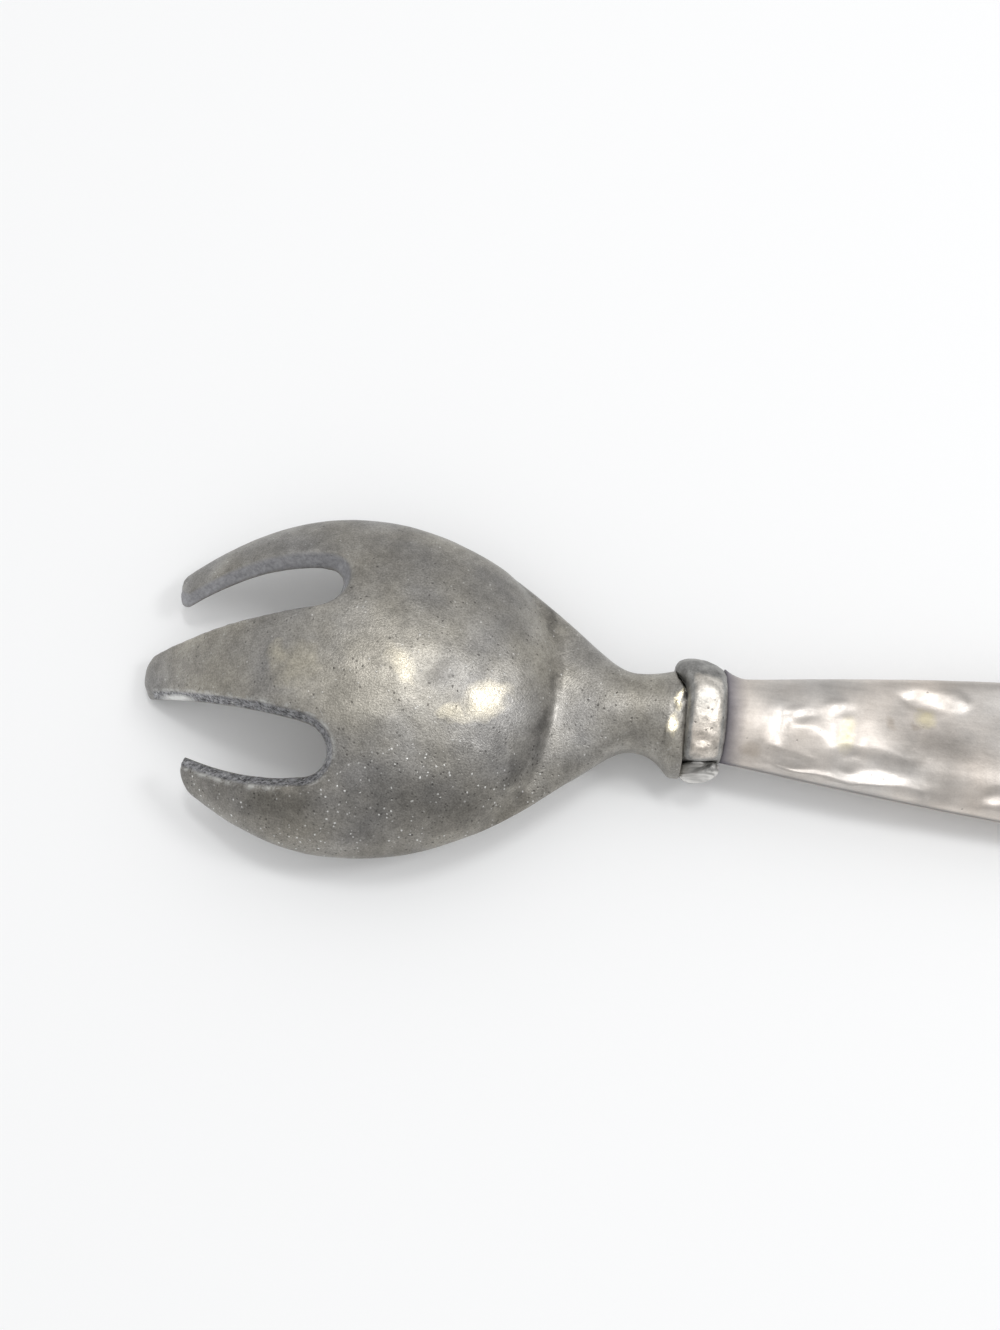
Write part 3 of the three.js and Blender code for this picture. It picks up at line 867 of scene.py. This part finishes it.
def handle_section(along):
    """Middle, width, height and squareness of the handle's oval."""
    past = max(0, along - ROOT_AT)
    swell = math.sin(QUARTER * min(1, past / SWELL_LENGTH))
    flared = ROOT_FLARE * max(0, 1 - past / ROOT_FLARE_LENGTH) ** 2
    dip = ROOT_DIP * max(0, 1 - past / ROOT_DIP_LENGTH) ** 2
    turn = min(1, max(0, (along - HEEL_AT) / END_ROUND))
    rounded = math.sqrt(1 - turn**2)
    width = (lerp(ROOT_WIDTH, GRIP_WIDTH, swell) + flared) * rounded
    height = (lerp(ROOT_HEIGHT, GRIP_HEIGHT, swell) - 2 * dip) * lerp(END_THINNING, 1, rounded)
    return flared / 2, width, height, lerp(OVAL_POWER, GRIP_POWER, swell)


print(f"handle {ROOT_WIDTH / MM:.1f} mm wide at its root, {GRIP_WIDTH / MM:.1f} mm at the grip")

# %% Handle: lay the two halves
COLLAR = (0, SPIGOT_WIDTH, SPIGOT_HEIGHT, OVAL_POWER)
COLLAR_ROWS = 6
SHOULDER_ROWS = 3
GRIP_ROWS = 240
END_ROWS = 20
HANDLE_COLUMNS = 64
HANDLE_ROWS = COLLAR_ROWS + SHOULDER_ROWS + GRIP_ROWS + END_ROWS


def handle_row(row):
    """Where a row lies along the handle, and its section."""
    if row <= COLLAR_ROWS:
        return lerp(JOINT_AT + CLEARANCE / 2, ROOT_AT, row / COLLAR_ROWS), COLLAR
    row -= COLLAR_ROWS
    if row <= SHOULDER_ROWS:
        share = row / SHOULDER_ROWS
        return ROOT_AT, [lerp(a, b, share) for a, b in zip(COLLAR, handle_section(ROOT_AT))]
    row -= SHOULDER_ROWS
    if row <= GRIP_ROWS:
        along = lerp(ROOT_AT, HEEL_AT, row / GRIP_ROWS)
    else:
        along = HEEL_AT + END_ROUND * math.sin(QUARTER * (row - GRIP_ROWS) / END_ROWS)
    return along, handle_section(along)


def handle_place(row, column, side):
    along, (middle, width, height, power) = handle_row(row)
    turn = math.pi * column / HANDLE_COLUMNS
    across = math.cos(turn)
    y = middle - side * width / 2 * math.copysign(abs(across) ** (2 / power), across)
    z = SEAM / 2 + (height - SEAM) / 2 * max(0, math.sin(turn)) ** (2 / power)
    if side > 0:
        slant = SLANT * smoothstep(along, *SLANT_FROM) * (1 - smoothstep(along, *SLANT_TO))
        z -= slant * (y - middle) * math.sin(turn) ** SLANT_POWER
    return point(along, y, handle_level(along) + side * z)


def handle_sheet(name, side):
    sheet, _ = lay_sheet(
        name, HANDLE_ROWS, HANDLE_COLUMNS, lambda row, column: handle_place(row, column, side)
    )
    edit_faces(sheet, lambda face: True)
    bpy.ops.mesh.remove_doubles(threshold=NEARLY_SAME_PLACE)
    bpy.ops.object.mode_set(mode="OBJECT")
    return sheet


halves = {
    "handle_back_half": handle_sheet("handle_back_hammered", 1),
    "handle_front_half": handle_sheet("handle_front_hammered", -1),
}
print("handle halves:", [len(half.data.polygons) for half in halves.values()])

# %% [markdown]
# The upper half gets its hammer marks before it gets its wall, so that the wall follows them inside.

# %% Handle: hammer marks
HANDLE_MARKS = (
    {"at": (123.6, -4), "size": (4, 4), "turn": 0, "tilt": (0, -6)},
    {"at": (118, -2.9), "size": (2.1, 6.4), "turn": -6, "mirrors": "side_lamp"},
    {"at": (124.5, -8.6), "size": (7.5, 1.5), "turn": -14, "mirrors": "top_lamp"},
    {"at": (122.4, 1), "size": (2.4, 1.4), "turn": 5, "mirrors": "side_lamp"},
    {"at": (129, 2.8), "size": (2.6, 1.6), "turn": 5, "mirrors": "side_lamp"},
    {"at": (131, -2.6), "size": (2.8, 4.4), "turn": 10, "mirrors": "top_lamp"},
    {"at": (137, -8.8), "size": (9, 3.8), "turn": -9, "mirrors": "top_lamp", "deepest": 1},
    {"at": (147.3, 7.2), "size": (5.6, 2.2), "turn": 6, "mirrors": "top_lamp"},
    {"at": (158.5, -10.6), "size": (3, 1.8), "turn": -5, "mirrors": "top_lamp"},
)

for handle_mark in HANDLE_MARKS:
    hammer(halves["handle_back_half"], **handle_mark)
print(f"{len(HANDLE_MARKS)} hammer marks")

# %% Handle: mark the seam
SEAM_REACH = 1.6 * MM


def seam_share(place):
    return 1 - smoothstep(abs(place.z - handle_level(place.x - TIP_X)), SEAM / 2, SEAM_REACH)


for half in halves.values():
    mark(half, "seam", [seam_share(vertex.co) for vertex in half.data.vertices])
print(f"seam: dirt reaches {SEAM_REACH / MM:.1f} mm from it")

# %% Handle: wall and uneven skin
SHELL_WALL = 0.8 * MM
HANDLE_SWELL = {"noise_scale": 13 * MM, "strength": 0.22 * MM}

for half in halves.values():
    finish_with(half, "SOLIDIFY", thickness=SHELL_WALL, offset=-1)
    bpy.ops.object.shade_smooth()
    uneven(half, "handle_swell", **HANDLE_SWELL)
    stand_on_table(half)
    print(f"{half.name}: {triangles_in(half)} triangles")

# %% [markdown]
# ## Table
# The table is plain and pale, so that it throws soft light up at the metal and keeps the shadow.

# %% Table
TABLE_GAP = 0.1 * MM
TABLE_SIZE = 30

start_fresh()
bpy.ops.mesh.primitive_plane_add(size=TABLE_SIZE, location=(0, 0, -TABLE_GAP))
table = bpy.context.object
table.name = "table"
print(f"table: {TABLE_SIZE} m wide, so that its edge is never seen")

# %% [markdown]
# ## Helpers for finishes
# A finish is a tree of nodes. A mask goes from 0 to 1 and says where something is. Colours are blended by
# masks and then made brighter or darker by them. What is even all over is set on the shader itself.


# %% Helpers for finishes: materials and groups
def new_material(name, roughness, metallic):
    """A material, its node tree and its shader."""
    material = bpy.data.materials.new(name)
    material.use_nodes = True
    shader = material.node_tree.nodes["Principled BSDF"]
    shader.inputs["Roughness"].default_value = roughness
    shader.inputs["Metallic"].default_value = metallic
    return material, material.node_tree, shader


def new_group(name, inputs, outputs):
    """A node group with named sockets, and the nodes that stand for its inputs and outputs."""
    tree = bpy.data.node_groups.new(name, "ShaderNodeTree")
    for label, kind in inputs.items():
        tree.interface.new_socket(label, in_out="INPUT", socket_type="NodeSocket" + kind)
    for label in outputs:
        tree.interface.new_socket(label, in_out="OUTPUT", socket_type="NodeSocketFloat")
    return tree, tree.nodes.new("NodeGroupInput").outputs, tree.nodes.new("NodeGroupOutput").inputs


def use_group(tree, group, **inputs):
    return add_node(tree, "Group", inputs, node_tree=group).outputs


def coat(piece, material):
    piece.data.materials.clear()
    piece.data.materials.append(material)


# %% Helpers for finishes: places and masks
def object_place(tree):
    """The place of a point in its own object, so that a finish stays with its piece."""
    return add_node(tree, "TexCoord").outputs["Object"]


def axes_of(tree, vector):
    return add_node(tree, "SeparateXYZ", {"Vector": vector}).outputs


def attribute(tree, name):
    return add_node(tree, "Attribute", attribute_name=name).outputs["Fac"]


def facing_up(tree):
    """1 on what faces up as the spoon lies, 0 on its underside."""
    normal = add_node(tree, "NewGeometry").outputs["Normal"]
    return in_range(tree, axes_of(tree, normal)["Z"], 0, FACES_UP)


def noise(tree, vector, size, detail=2.0, roughness=0.5, output="Fac"):
    """Clouds whose lumps are about as big as the size."""
    inputs = {"Vector": vector, "Scale": 1 / size, "Detail": detail, "Roughness": roughness}
    return add_node(tree, "TexNoise", inputs).outputs[output]


def drawn_lines(tree, vector, scale, detail=2.0, turn=0.0):
    """Noise drawn out to lines, which run along the axis with the smallest scale."""
    inputs = {"Vector": vector, "Rotation": (0, 0, turn), "Scale": scale}
    stretched = add_node(tree, "Mapping", inputs).outputs["Vector"]
    return noise(tree, stretched, 1, detail)


def ramp(tree, mask, low, high):
    """Goes from low to high where the mask goes from 0 to 1."""
    return in_range(tree, mask, 0, 1, low, high)


def product(tree, *values):
    result = values[0]
    for value in values[1:]:
        result = calculate(tree, "MULTIPLY", result, value)
    return result


def add_up(tree, start, *others):
    """A value, and others added to it, each with its weight."""
    for value, weight in others:
        start = calculate(tree, "ADD", start, product(tree, value, weight))
    return start


# %% Helpers for finishes: colour and relief
def scaled(tree, vector, factor):
    """Makes a vector longer, or a colour brighter."""
    return add_node(tree, "VectorMath", {0: vector, "Scale": factor}, operation="SCALE").outputs[0]


def blend(tree, first, second, *masks):
    """Goes from the first colour to the second by the product of the masks."""
    ends = [end if isinstance(end, bpy.types.NodeSocket) else (*end, 1) for end in (first, second)]
    inputs = {"Factor": product(tree, *masks), 6: ends[0], 7: ends[1]}
    return add_node(tree, "Mix", inputs, data_type="RGBA").outputs[2]


def shade(tree, colour, *tones):
    """Makes a colour brighter or darker. Each tone is a mask, with the factor at 0 and the factor at 1."""
    return scaled(tree, colour, product(tree, *[ramp(tree, *tone) for tone in tones]))


def dress(tree, shader, colour, relief, depth, gloss=None):
    """Links a finish to its shader. The relief goes through a Bump node, the gloss is a roughness."""
    bump = add_node(tree, "Bump", {"Height": relief, "Distance": depth})
    tree.links.new(bump.outputs["Normal"], shader.inputs["Normal"])
    tree.links.new(colour, shader.inputs["Base Color"])
    if gloss is not None:
        tree.links.new(gloss, shader.inputs["Roughness"])


# %% [markdown]
# ## Shared effects
# Old metal has the same few marks everywhere: tarnish in clouds, pits and bright flecks, and single
# stains and scratches. Each is a node group, made once and used with other values in each finish.

# %% Wandering edges
HALF_GREY = (0.5, 0.5, 0.5)


def wander(tree, vector, size, reach):
    """Moves places a little, so that edges of spots are not smooth."""
    clouds = noise(tree, vector, size, output="Color")
    centred = add_node(tree, "VectorMath", {0: clouds, 1: HALF_GREY}, operation="SUBTRACT").outputs[0]
    moved = {0: vector, 1: scaled(tree, centred, reach)}
    return add_node(tree, "VectorMath", moved, operation="ADD").outputs[0]


# %% Tarnish
# Each row: size of the clouds, detail, roughness, and how far from the middle they are spread
TARNISH = {
    "Mottle": (7 * MM, 6, 0.62, 0.14),
    "Tint": (17 * MM, 3, 0.5, 0.15),
    "Film": (1.9 * MM, 4, 0.65, 0.16),
}

tarnish, given, made = new_group("tarnish", {"Vector": "Vector"}, TARNISH)
for label, (size, detail, roughness, spread) in TARNISH.items():
    clouds = noise(tarnish, given["Vector"], size, detail, roughness)
    tarnish.links.new(in_range(tarnish, clouds, 0.5 - spread, 0.5 + spread), made[label])
print("tarnish:", ", ".join(TARNISH))

# %% Pitting
GRAIN_SIZE = 0.34 * MM
GRAIN_SPREAD = (0.32, 0.68)
DENSE_SPREAD = (0.38, 0.55)
# Each row: size of a cell, radius of the dot in it, size of the clouds that dots gather in, random channel
DOTS = {
    "Pits": (1 * MM, 0.26, 9 * MM, "Red"),
    "Flecks": (1.1 * MM, 0.2, 7 * MM, "Green"),
}

pitting, given, made = new_group("pitting", {"Vector": "Vector", "Amount": "Float"}, ("Grain", *DOTS))
grain = noise(pitting, given["Vector"], GRAIN_SIZE, roughness=0.7)
pitting.links.new(in_range(pitting, grain, *GRAIN_SPREAD), made["Grain"])
ragged = wander(pitting, given["Vector"], size=0.5 * MM, reach=0.35 * MM)
for label, (size, radius, gathered, channel) in DOTS.items():
    cells = add_node(pitting, "TexVoronoi", {"Vector": ragged, "Scale": 1 / size})
    dots = in_range(pitting, cells.outputs["Distance"], radius / 2, radius, 1, 0)
    chance = add_node(pitting, "SeparateColor", {"Color": cells.outputs["Color"]}).outputs[channel]
    kept = calculate(pitting, "LESS_THAN", chance, given["Amount"])
    dense = in_range(pitting, noise(pitting, given["Vector"], gathered), *DENSE_SPREAD)
    pitting.links.new(product(pitting, dots, kept, dense), made[label])
print("pitting: Grain,", ", ".join(DOTS))

# %% Stains and scratches
SPOT_CORE = 0.35
SPOT_DEPTH = 20 * MM

spot, given, made = new_group(
    "spot", {"Vector": "Vector", "Place": "Vector", "Turn": "Vector", "Size": "Vector"}, ("Mask",)
)
sockets = {"Vector": "Vector", "Location": "Place", "Rotation": "Turn", "Scale": "Size"}
mapping = {socket: given[label] for socket, label in sockets.items()}
local = add_node(spot, "Mapping", mapping, vector_type="TEXTURE").outputs["Vector"]
far = add_node(spot, "VectorMath", {0: local}, operation="LENGTH").outputs["Value"]
spot.links.new(in_range(spot, far, SPOT_CORE, 1, 1, 0), made["Mask"])


def spots(tree, vector, places):
    """One mask of several spots: along, across, length, width and turn, in millimetres and degrees."""
    total = None
    for along, across, length, width, turn in places:
        mask = use_group(
            tree,
            spot,
            Vector=vector,
            Place=point(along * MM, across * MM, RIM_HEIGHT),
            Turn=(0, 0, math.radians(turn)),
            Size=(length * MM / 2, width * MM / 2, SPOT_DEPTH),
        )["Mask"]
        total = mask if total is None else calculate(tree, "MAXIMUM", total, mask)
    return total


def spots_on_top(tree, vector, *kinds):
    """A mask for each kind of spot, left out on the spoon's underside."""
    upper = facing_up(tree)
    return [product(tree, spots(tree, vector, places), upper) for places in kinds]


print("node groups:", [group.name for group in (tarnish, pitting, spot)])

# %% [markdown]
# ## Cast skin
# The head is dull: its cast skin is full of fine grains and pits, browner and greyer in clouds, with pale
# specks in the pits on the near side. The crown is rubbed brighter, partly as wear and partly as painted
# highlights. Painted shade darkens the near and far sides and the crease behind the dome, and the dark
# places are partly tarnish and partly painted shade. Painted light lifts the shade on the shoulder beside
# the strap.
# The walls of the slots are darker, darkest in the near slot, and the walls of the near slot are rough,
# with bright edges and painted glints. Grains could be modelled, but a relief by nodes is fine enough here
# and keeps the mesh light.

# %% Cast skin: places
# Each row: along, across, length, width and turn
# Rubbed places: partly wear, partly painted highlights on the crown, behind it and on the crest in front of
# the strap.
RUBBED_AND_HIGHLIGHT_PLACES = (
    (50.8, 0.2, 13, 9, -50),
    (51.8, -1.6, 9, 7, -50),
    (65.6, -4.2, 14, 10, 30),
    (60.5, -7.6, 11, 5, 8),
    (100.5, 1.6, 1.8, 5.4, -12),
    (99.4, -3.4, 2.4, 5.6, -12),
)
# Dark places: partly tarnish, partly painted shade, such as the band between the two highlights.
DARK_AND_SHADED_PLACES = (
    (41.6, -6.4, 10, 17, 8),
    (32, -25, 22, 6, 6),
    (57, -1.5, 5, 18, -20),
    (56, -21, 36, 14, 4),
    (74, -18.5, 4, 4, 0),
    (60, -14, 14, 6, 20),
)
# Painted shade along the crease where the dome meets the neck.
CREASE = (
    (76.4, 14.5, 2.8, 14, 20),
    (78.2, 4.1, 2.8, 13, -3),
    (76.4, -5.8, 2.8, 13, -17),
    (72.4, -14.5, 2.8, 12, -31),
)
STAINS = ((32.5, -1.5, 14, 15, 0), (29, 0, 7, 9, 20))
BURRS = ((8.5, -5.5, 10, 0.9, -11),)
PALE_SMEARS = ((39.2, 6.4, 2.5, 8, 10),)
DARK_SCRATCHES = ((53, -1.9, 6.6, 0.3, -50), (62.9, -3.7, 4.2, 0.26, -72))
BRIGHT_SCRATCHES = ((38.1, -10, 3.2, 0.3, -56), (47.3, 1.2, 1.1, 0.5, -40))
print("places on the head:", len(RUBBED_AND_HIGHLIGHT_PLACES) + len(DARK_AND_SHADED_PLACES) + len(CREASE) + len(STAINS))

# %% Cast skin: masks
# Near and far sides of the bowl: painted shade on both; the near side also gets more pits and pale specks.
NEAR_SIDE = (-8 * MM, -20 * MM)
FAR_SIDE = (10 * MM, 24 * MM)
NEAR_SLOT = (2 * MM, -2 * MM)
# Back of the shoulder: painted lighter against the shade beside the strap.
SHOULDER_BACK = (TIP_X + 101.2 * MM, TIP_X + 102.4 * MM)

cast_skin, tree, shader = new_material("cast_skin", 0.45, 1)
where = object_place(tree)
loose = wander(tree, where, size=3 * MM, reach=4 * MM)
axes = axes_of(tree, where)
near = in_range(tree, axes["Y"], *NEAR_SIDE)
far = in_range(tree, axes["Y"], *FAR_SIDE)
near_slot = in_range(tree, axes["Y"], *NEAR_SLOT)
shoulder = in_range(tree, axes["X"], *SHOULDER_BACK)
clouds = use_group(tree, tarnish, Vector=where)
dots = use_group(tree, pitting, Vector=where, Amount=ramp(tree, near, 0.32, 0.9))
rubbed_and_highlit, dark, crease_shade = spots_on_top(tree, loose, RUBBED_AND_HIGHLIGHT_PLACES, DARK_AND_SHADED_PLACES, CREASE)
wall = attribute(tree, "slot_wall")
ragged = in_range(tree, noise(tree, where, 2.2 * MM, detail=6, roughness=0.75), 0.44, 0.6)
edge = product(tree, attribute(tree, "slot_edge"), ragged, ramp(tree, near_slot, 0.2, 0.9))
print("cast skin, masks:", len(tree.nodes), "nodes")

# %% Cast skin: colour of the skin
CAST_COOL = (0.302, 0.294, 0.283)
CAST_WARM = (0.355, 0.335, 0.294)
CAST_STAIN = (0.7, 0.64, 0.49)
CAST_RUBBED_HIGHLIGHT = (0.69, 0.62, 0.45)
SPECK = (0.86, 0.86, 0.84)
SCRATCH_DARK = (0.12, 0.11, 0.1)

colour = blend(tree, CAST_COOL, CAST_WARM, clouds["Tint"])
colour = blend(tree, colour, CAST_STAIN, spots(tree, loose, STAINS), 0.75)
# Paler colour on the rubbed places: partly wear, partly painted highlight.
colour = blend(tree, colour, CAST_RUBBED_HIGHLIGHT, rubbed_and_highlit, 0.8)
colour = shade(
    tree,
    colour,
    (clouds["Mottle"], 0.81, 1.13),
    (clouds["Film"], 0.88, 1.1),
    (dots["Grain"], 0.78, 1.24),
    (dots["Pits"], 1, 0.5),
    # painted highlight on the rubbed places
    (rubbed_and_highlit, 1, 1.4),
    # partly tarnish, partly painted shade
    (dark, 1, 0.68),
    # painted shade on the near side
    (near, 1, 0.8),
    # painted shade on the far side
    (far, 1, 0.87),
    # painted shade in the crease
    (crease_shade, 1, 0.63),
    # painted light against the shade beside the strap
    (shoulder, 1, 1.2),
)
pale = calculate(tree, "MAXIMUM", dots["Flecks"], spots(tree, where, BRIGHT_SCRATCHES))
pale = calculate(tree, "MAXIMUM", pale, product(tree, spots(tree, loose, PALE_SMEARS), 0.25))
colour = blend(tree, colour, SPECK, pale, ramp(tree, near, 0.4, 0.85))
colour = blend(tree, colour, SCRATCH_DARK, spots(tree, where, DARK_SCRATCHES))
print("cast skin, colour:", len(tree.nodes), "nodes")

# %% Cast skin: walls and edges of the slots
WALL_DARK = (0.38, 0.38, 0.395)
EDGE_BRIGHT = (0.6, 0.6, 0.58)

# Walls of the slots: darker, darkest in the near slot, where pale painted glints are added.
darkest = ramp(tree, near_slot, 0.82, 0.25)
palest = ramp(tree, near_slot, 1.12, 1.3)
wall_noise = noise(tree, where, 0.8 * MM, detail=4, roughness=0.7)
wall_tone = in_range(tree, wall_noise, 0.38, 0.64, darkest, palest)
glints = in_range(tree, noise(tree, where, 0.5 * MM, detail=3, roughness=0.7), 0.58, 0.66)
colour = blend(tree, colour, scaled(tree, WALL_DARK, wall_tone), wall)
colour = blend(tree, colour, SPECK, wall, near_slot, glints, 0.55)
colour = blend(tree, colour, EDGE_BRIGHT, edge)
colour = blend(tree, colour, SPECK, spots(tree, where, BURRS), 0.9)
print("cast skin, slots:", len(tree.nodes), "nodes")

# %% Cast skin: gloss and relief
SKIN_DEPTH = 0.05 * MM

gloss = add_up(tree, ramp(tree, clouds["Mottle"], 0.43, 0.35), (wall, 0.2), (rubbed_and_highlit, -0.13))
relief = add_up(
    tree,
    product(tree, dots["Grain"], 0.5),
    (dots["Pits"], -1),
    (dots["Flecks"], 0.8),
    (clouds["Film"], 0.3),
)
dress(tree, shader, colour, relief, SKIN_DEPTH, gloss)
coat(head, cast_skin)
print("cast skin:", len(tree.nodes), "nodes")

# %% [markdown]
# ## Planished skin
# The handle was hammered and then polished. It is brighter and smoother than the casting, with the fine
# lines of the polishing along it, faint yellow and brown films, and dark dirt along the seam. The groove
# beside the strap is painted violet as shade. Pale places on top are partly polish and partly painted
# highlight; dull places are partly tarnish and partly painted shade. The lines are noise drawn out along
# the handle; an image of brushed metal would show them too, but this needs no file.

# %% Planished skin: masks
# Dull places: partly tarnish, partly painted shade over the broad flat.
DULL_AND_SHADED_PLACES = ((149, -3, 24, 13, -4), (143, -4.2, 13, 6, -8))
# Pale places: partly polish, partly painted highlight.
PALE_AND_HIGHLIGHT_PLACES = ((126.5, -3.5, 23, 19, -8), (137, -9, 17, 6, -10))
YELLOW_PLACES = ((145.6, 3.5, 5.5, 4.5, 20), (131, -1.5, 4, 8, 0))
BROWN_PLACES = ((143.7, 1.4, 2.6, 2, 0), (139.1, 1.5, 3, 3.4, 0), (114, -6, 5, 3, 0))
POLISH_SCALE = (90, 1500, 300)
ROOT = (TIP_X + 119 * MM, TIP_X + 112 * MM)
# Groove beside the strap, painted violet as shade.
GROOVE = (TIP_X + 113 * MM, TIP_X + 109.2 * MM)

planished_skin, tree, shader = new_material("planished_skin", 0.25, 1)
where = object_place(tree)
loose = wander(tree, where, size=2.5 * MM, reach=2.5 * MM)
axes = axes_of(tree, where)
root = in_range(tree, axes["X"], *ROOT)
groove_shade = in_range(tree, axes["X"], *GROOVE)
clouds = use_group(tree, tarnish, Vector=where)
dots = use_group(tree, pitting, Vector=where, Amount=0.05)
polish = drawn_lines(tree, where, POLISH_SCALE, detail=3)
dull_and_shaded, pale, yellow, brown = spots_on_top(
    tree, loose, DULL_AND_SHADED_PLACES, PALE_AND_HIGHLIGHT_PLACES, YELLOW_PLACES, BROWN_PLACES
)
print("planished skin, masks:", len(tree.nodes), "nodes")

# %% Planished skin: colour, gloss and relief
SKIN_COOL = (0.56, 0.535, 0.51)
SKIN_WARM = (0.68, 0.618, 0.56)
ROOT_PALE = (0.76, 0.705, 0.65)
GROOVE_SHADE = (0.22, 0.21, 0.25)
YELLOW_FILM = (0.74, 0.66, 0.36)
BROWN_FILM = (0.42, 0.36, 0.3)
SEAM_DIRT = (0.26, 0.25, 0.25)

colour = blend(tree, SKIN_COOL, SKIN_WARM, clouds["Tint"])
colour = blend(tree, colour, ROOT_PALE, root, 0.8)
colour = blend(tree, colour, YELLOW_FILM, yellow, 0.45)
colour = blend(tree, colour, BROWN_FILM, brown, 0.5)
colour = shade(
    tree,
    colour,
    (clouds["Mottle"], 0.86, 1.06),
    # painted shade on the dull places, partly tarnish
    (dull_and_shaded, 1, 0.54),
    # painted highlight on the pale places, partly polish
    (pale, 1, 1.1),
    (dots["Grain"], 0.95, 1.04),
    (in_range(tree, polish, 0.35, 0.65), 0.96, 1.03),
    (dots["Pits"], 1, 0.62),
)
colour = blend(tree, colour, SEAM_DIRT, attribute(tree, "seam"), 0.8)
# Painted shade in the groove beside the strap.
colour = blend(tree, colour, GROOVE_SHADE, groove_shade, 0.85)
gloss = add_up(tree, ramp(tree, clouds["Film"], 0.38, 0.48), (root, 0.22), (groove_shade, 0.15))
relief = add_up(
    tree,
    product(tree, clouds["Mottle"], 0.6),
    (dots["Pits"], -0.5),
    (clouds["Film"], 0.2),
    (polish, 0.15),
    (dots["Grain"], 0.1),
)
dress(tree, shader, colour, relief, SKIN_DEPTH, gloss)
for half in halves.values():
    coat(half, planished_skin)
print("planished skin:", len(tree.nodes), "nodes")

# %% [markdown]
# ## Strap metal
# The strap is the same metal, hammered. Its back is rubbed bright where it lies on top, partly as wear and
# partly as a painted highlight, and its flanks and sides stay dull. Its cut end is matt and shows the
# slanting lines of the shears. The attributes that were marked on its mesh say where each of them is.

# %% Strap metal
STRAP_DULL = (0.44, 0.435, 0.42)
STRAP_COOL = (0.76, 0.74, 0.69)
STRAP_WARM = (0.85, 0.77, 0.68)
CUT_GREY = (0.64, 0.63, 0.61)
SHEAR_TURN = math.radians(38)
SHEAR_SCALE = (120, 1500, 300)
STRAP_DEPTH = 0.06 * MM

strap_metal, tree, shader = new_material("strap_metal", 0.4, 1)
where = object_place(tree)
clouds = use_group(tree, tarnish, Vector=where)
dots = use_group(tree, pitting, Vector=where, Amount=0.55)
cut = attribute(tree, "cut_end")
wear = noise(tree, where, 1.8 * MM, detail=5, roughness=0.65)
worn_and_highlit = in_range(tree, calculate(tree, "ADD", attribute(tree, "crest"), wear), 0.95, 1.45)
shear_lines = drawn_lines(tree, where, SHEAR_SCALE, turn=SHEAR_TURN)

# Bright back on top: partly rubbed wear, partly painted highlight.
rubbed_and_highlit_metal = blend(tree, STRAP_COOL, STRAP_WARM, clouds["Tint"])
colour = shade(
    tree,
    blend(tree, STRAP_DULL, rubbed_and_highlit_metal, worn_and_highlit),
    (clouds["Mottle"], 0.8, 1.06),
    (clouds["Film"], 0.6, 1.06),
    (dots["Grain"], 0.86, 1.1),
    (dots["Pits"], 1, 0.55),
)
cut_colour = scaled(tree, CUT_GREY, in_range(tree, shear_lines, 0.35, 0.65, 0.6, 1.4))
colour = blend(tree, colour, cut_colour, cut)
gloss = add_up(tree, ramp(tree, worn_and_highlit, 0.5, 0.38), (cut, 0.1))
relief = add_up(tree, product(tree, dots["Grain"], 0.3), (dots["Pits"], -1), (cut, shear_lines))
dress(tree, shader, colour, relief, STRAP_DEPTH, gloss)
coat(strap, strap_metal)
print("strap metal:", len(tree.nodes), "nodes")

# %% [markdown]
# ## Inside the handle
# The filler and the pin stay the solids that they are. Nobody sees them, yet they get the finish of
# poured resin and of drawn wire.

# %% Filler and pin
RESIN_DARK = (0.24, 0.2, 0.165)
RESIN_LIGHT = (0.33, 0.29, 0.245)
RESIN_DEPTH = 0.1 * MM
WIRE_DARK = (0.5, 0.5, 0.5)
WIRE_LIGHT = (0.66, 0.66, 0.65)
WIRE_SCALE = (3000, 60, 3000)
WIRE_DEPTH = 0.02 * MM

resin, tree, shader = new_material("handle_core", 0.6, 0)
flow = noise(tree, object_place(tree), 5 * MM, detail=4)
dress(tree, shader, blend(tree, RESIN_DARK, RESIN_LIGHT, flow), flow, RESIN_DEPTH)
coat(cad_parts["handle_filler"], resin)

wire, tree, shader = new_material("pin_steel", 0.3, 1)
streaks = drawn_lines(tree, object_place(tree), WIRE_SCALE)
dress(tree, shader, blend(tree, WIRE_DARK, WIRE_LIGHT, streaks), streaks, WIRE_DEPTH)
coat(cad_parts["tang_pin"], wire)
print("finishes inside:", resin.name, wire.name)

# %% Table colour
TABLE_COLOUR = (0.92, 0.925, 0.93, 1)

table_finish, tree, shader = new_material("table_finish", 0.7, 0)
shader.inputs["Base Color"].default_value = TABLE_COLOUR
coat(table, table_finish)
print("table colour:", TABLE_COLOUR[:3])

# %% [markdown]
# ## Swap in the pieces
# Each modelled piece takes the place of its solid.

# %% Swap in the pieces
PIECES = (
    (head, "serving_head", "cast_skin"),
    (strap, "collar_strap", "strap_metal"),
    (halves["handle_back_half"], "handle_back_half", "planished_skin"),
    (halves["handle_front_half"], "handle_front_half", "planished_skin"),
)
for piece, node, slot in PIECES:
    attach(piece, "root")
    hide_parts(node)
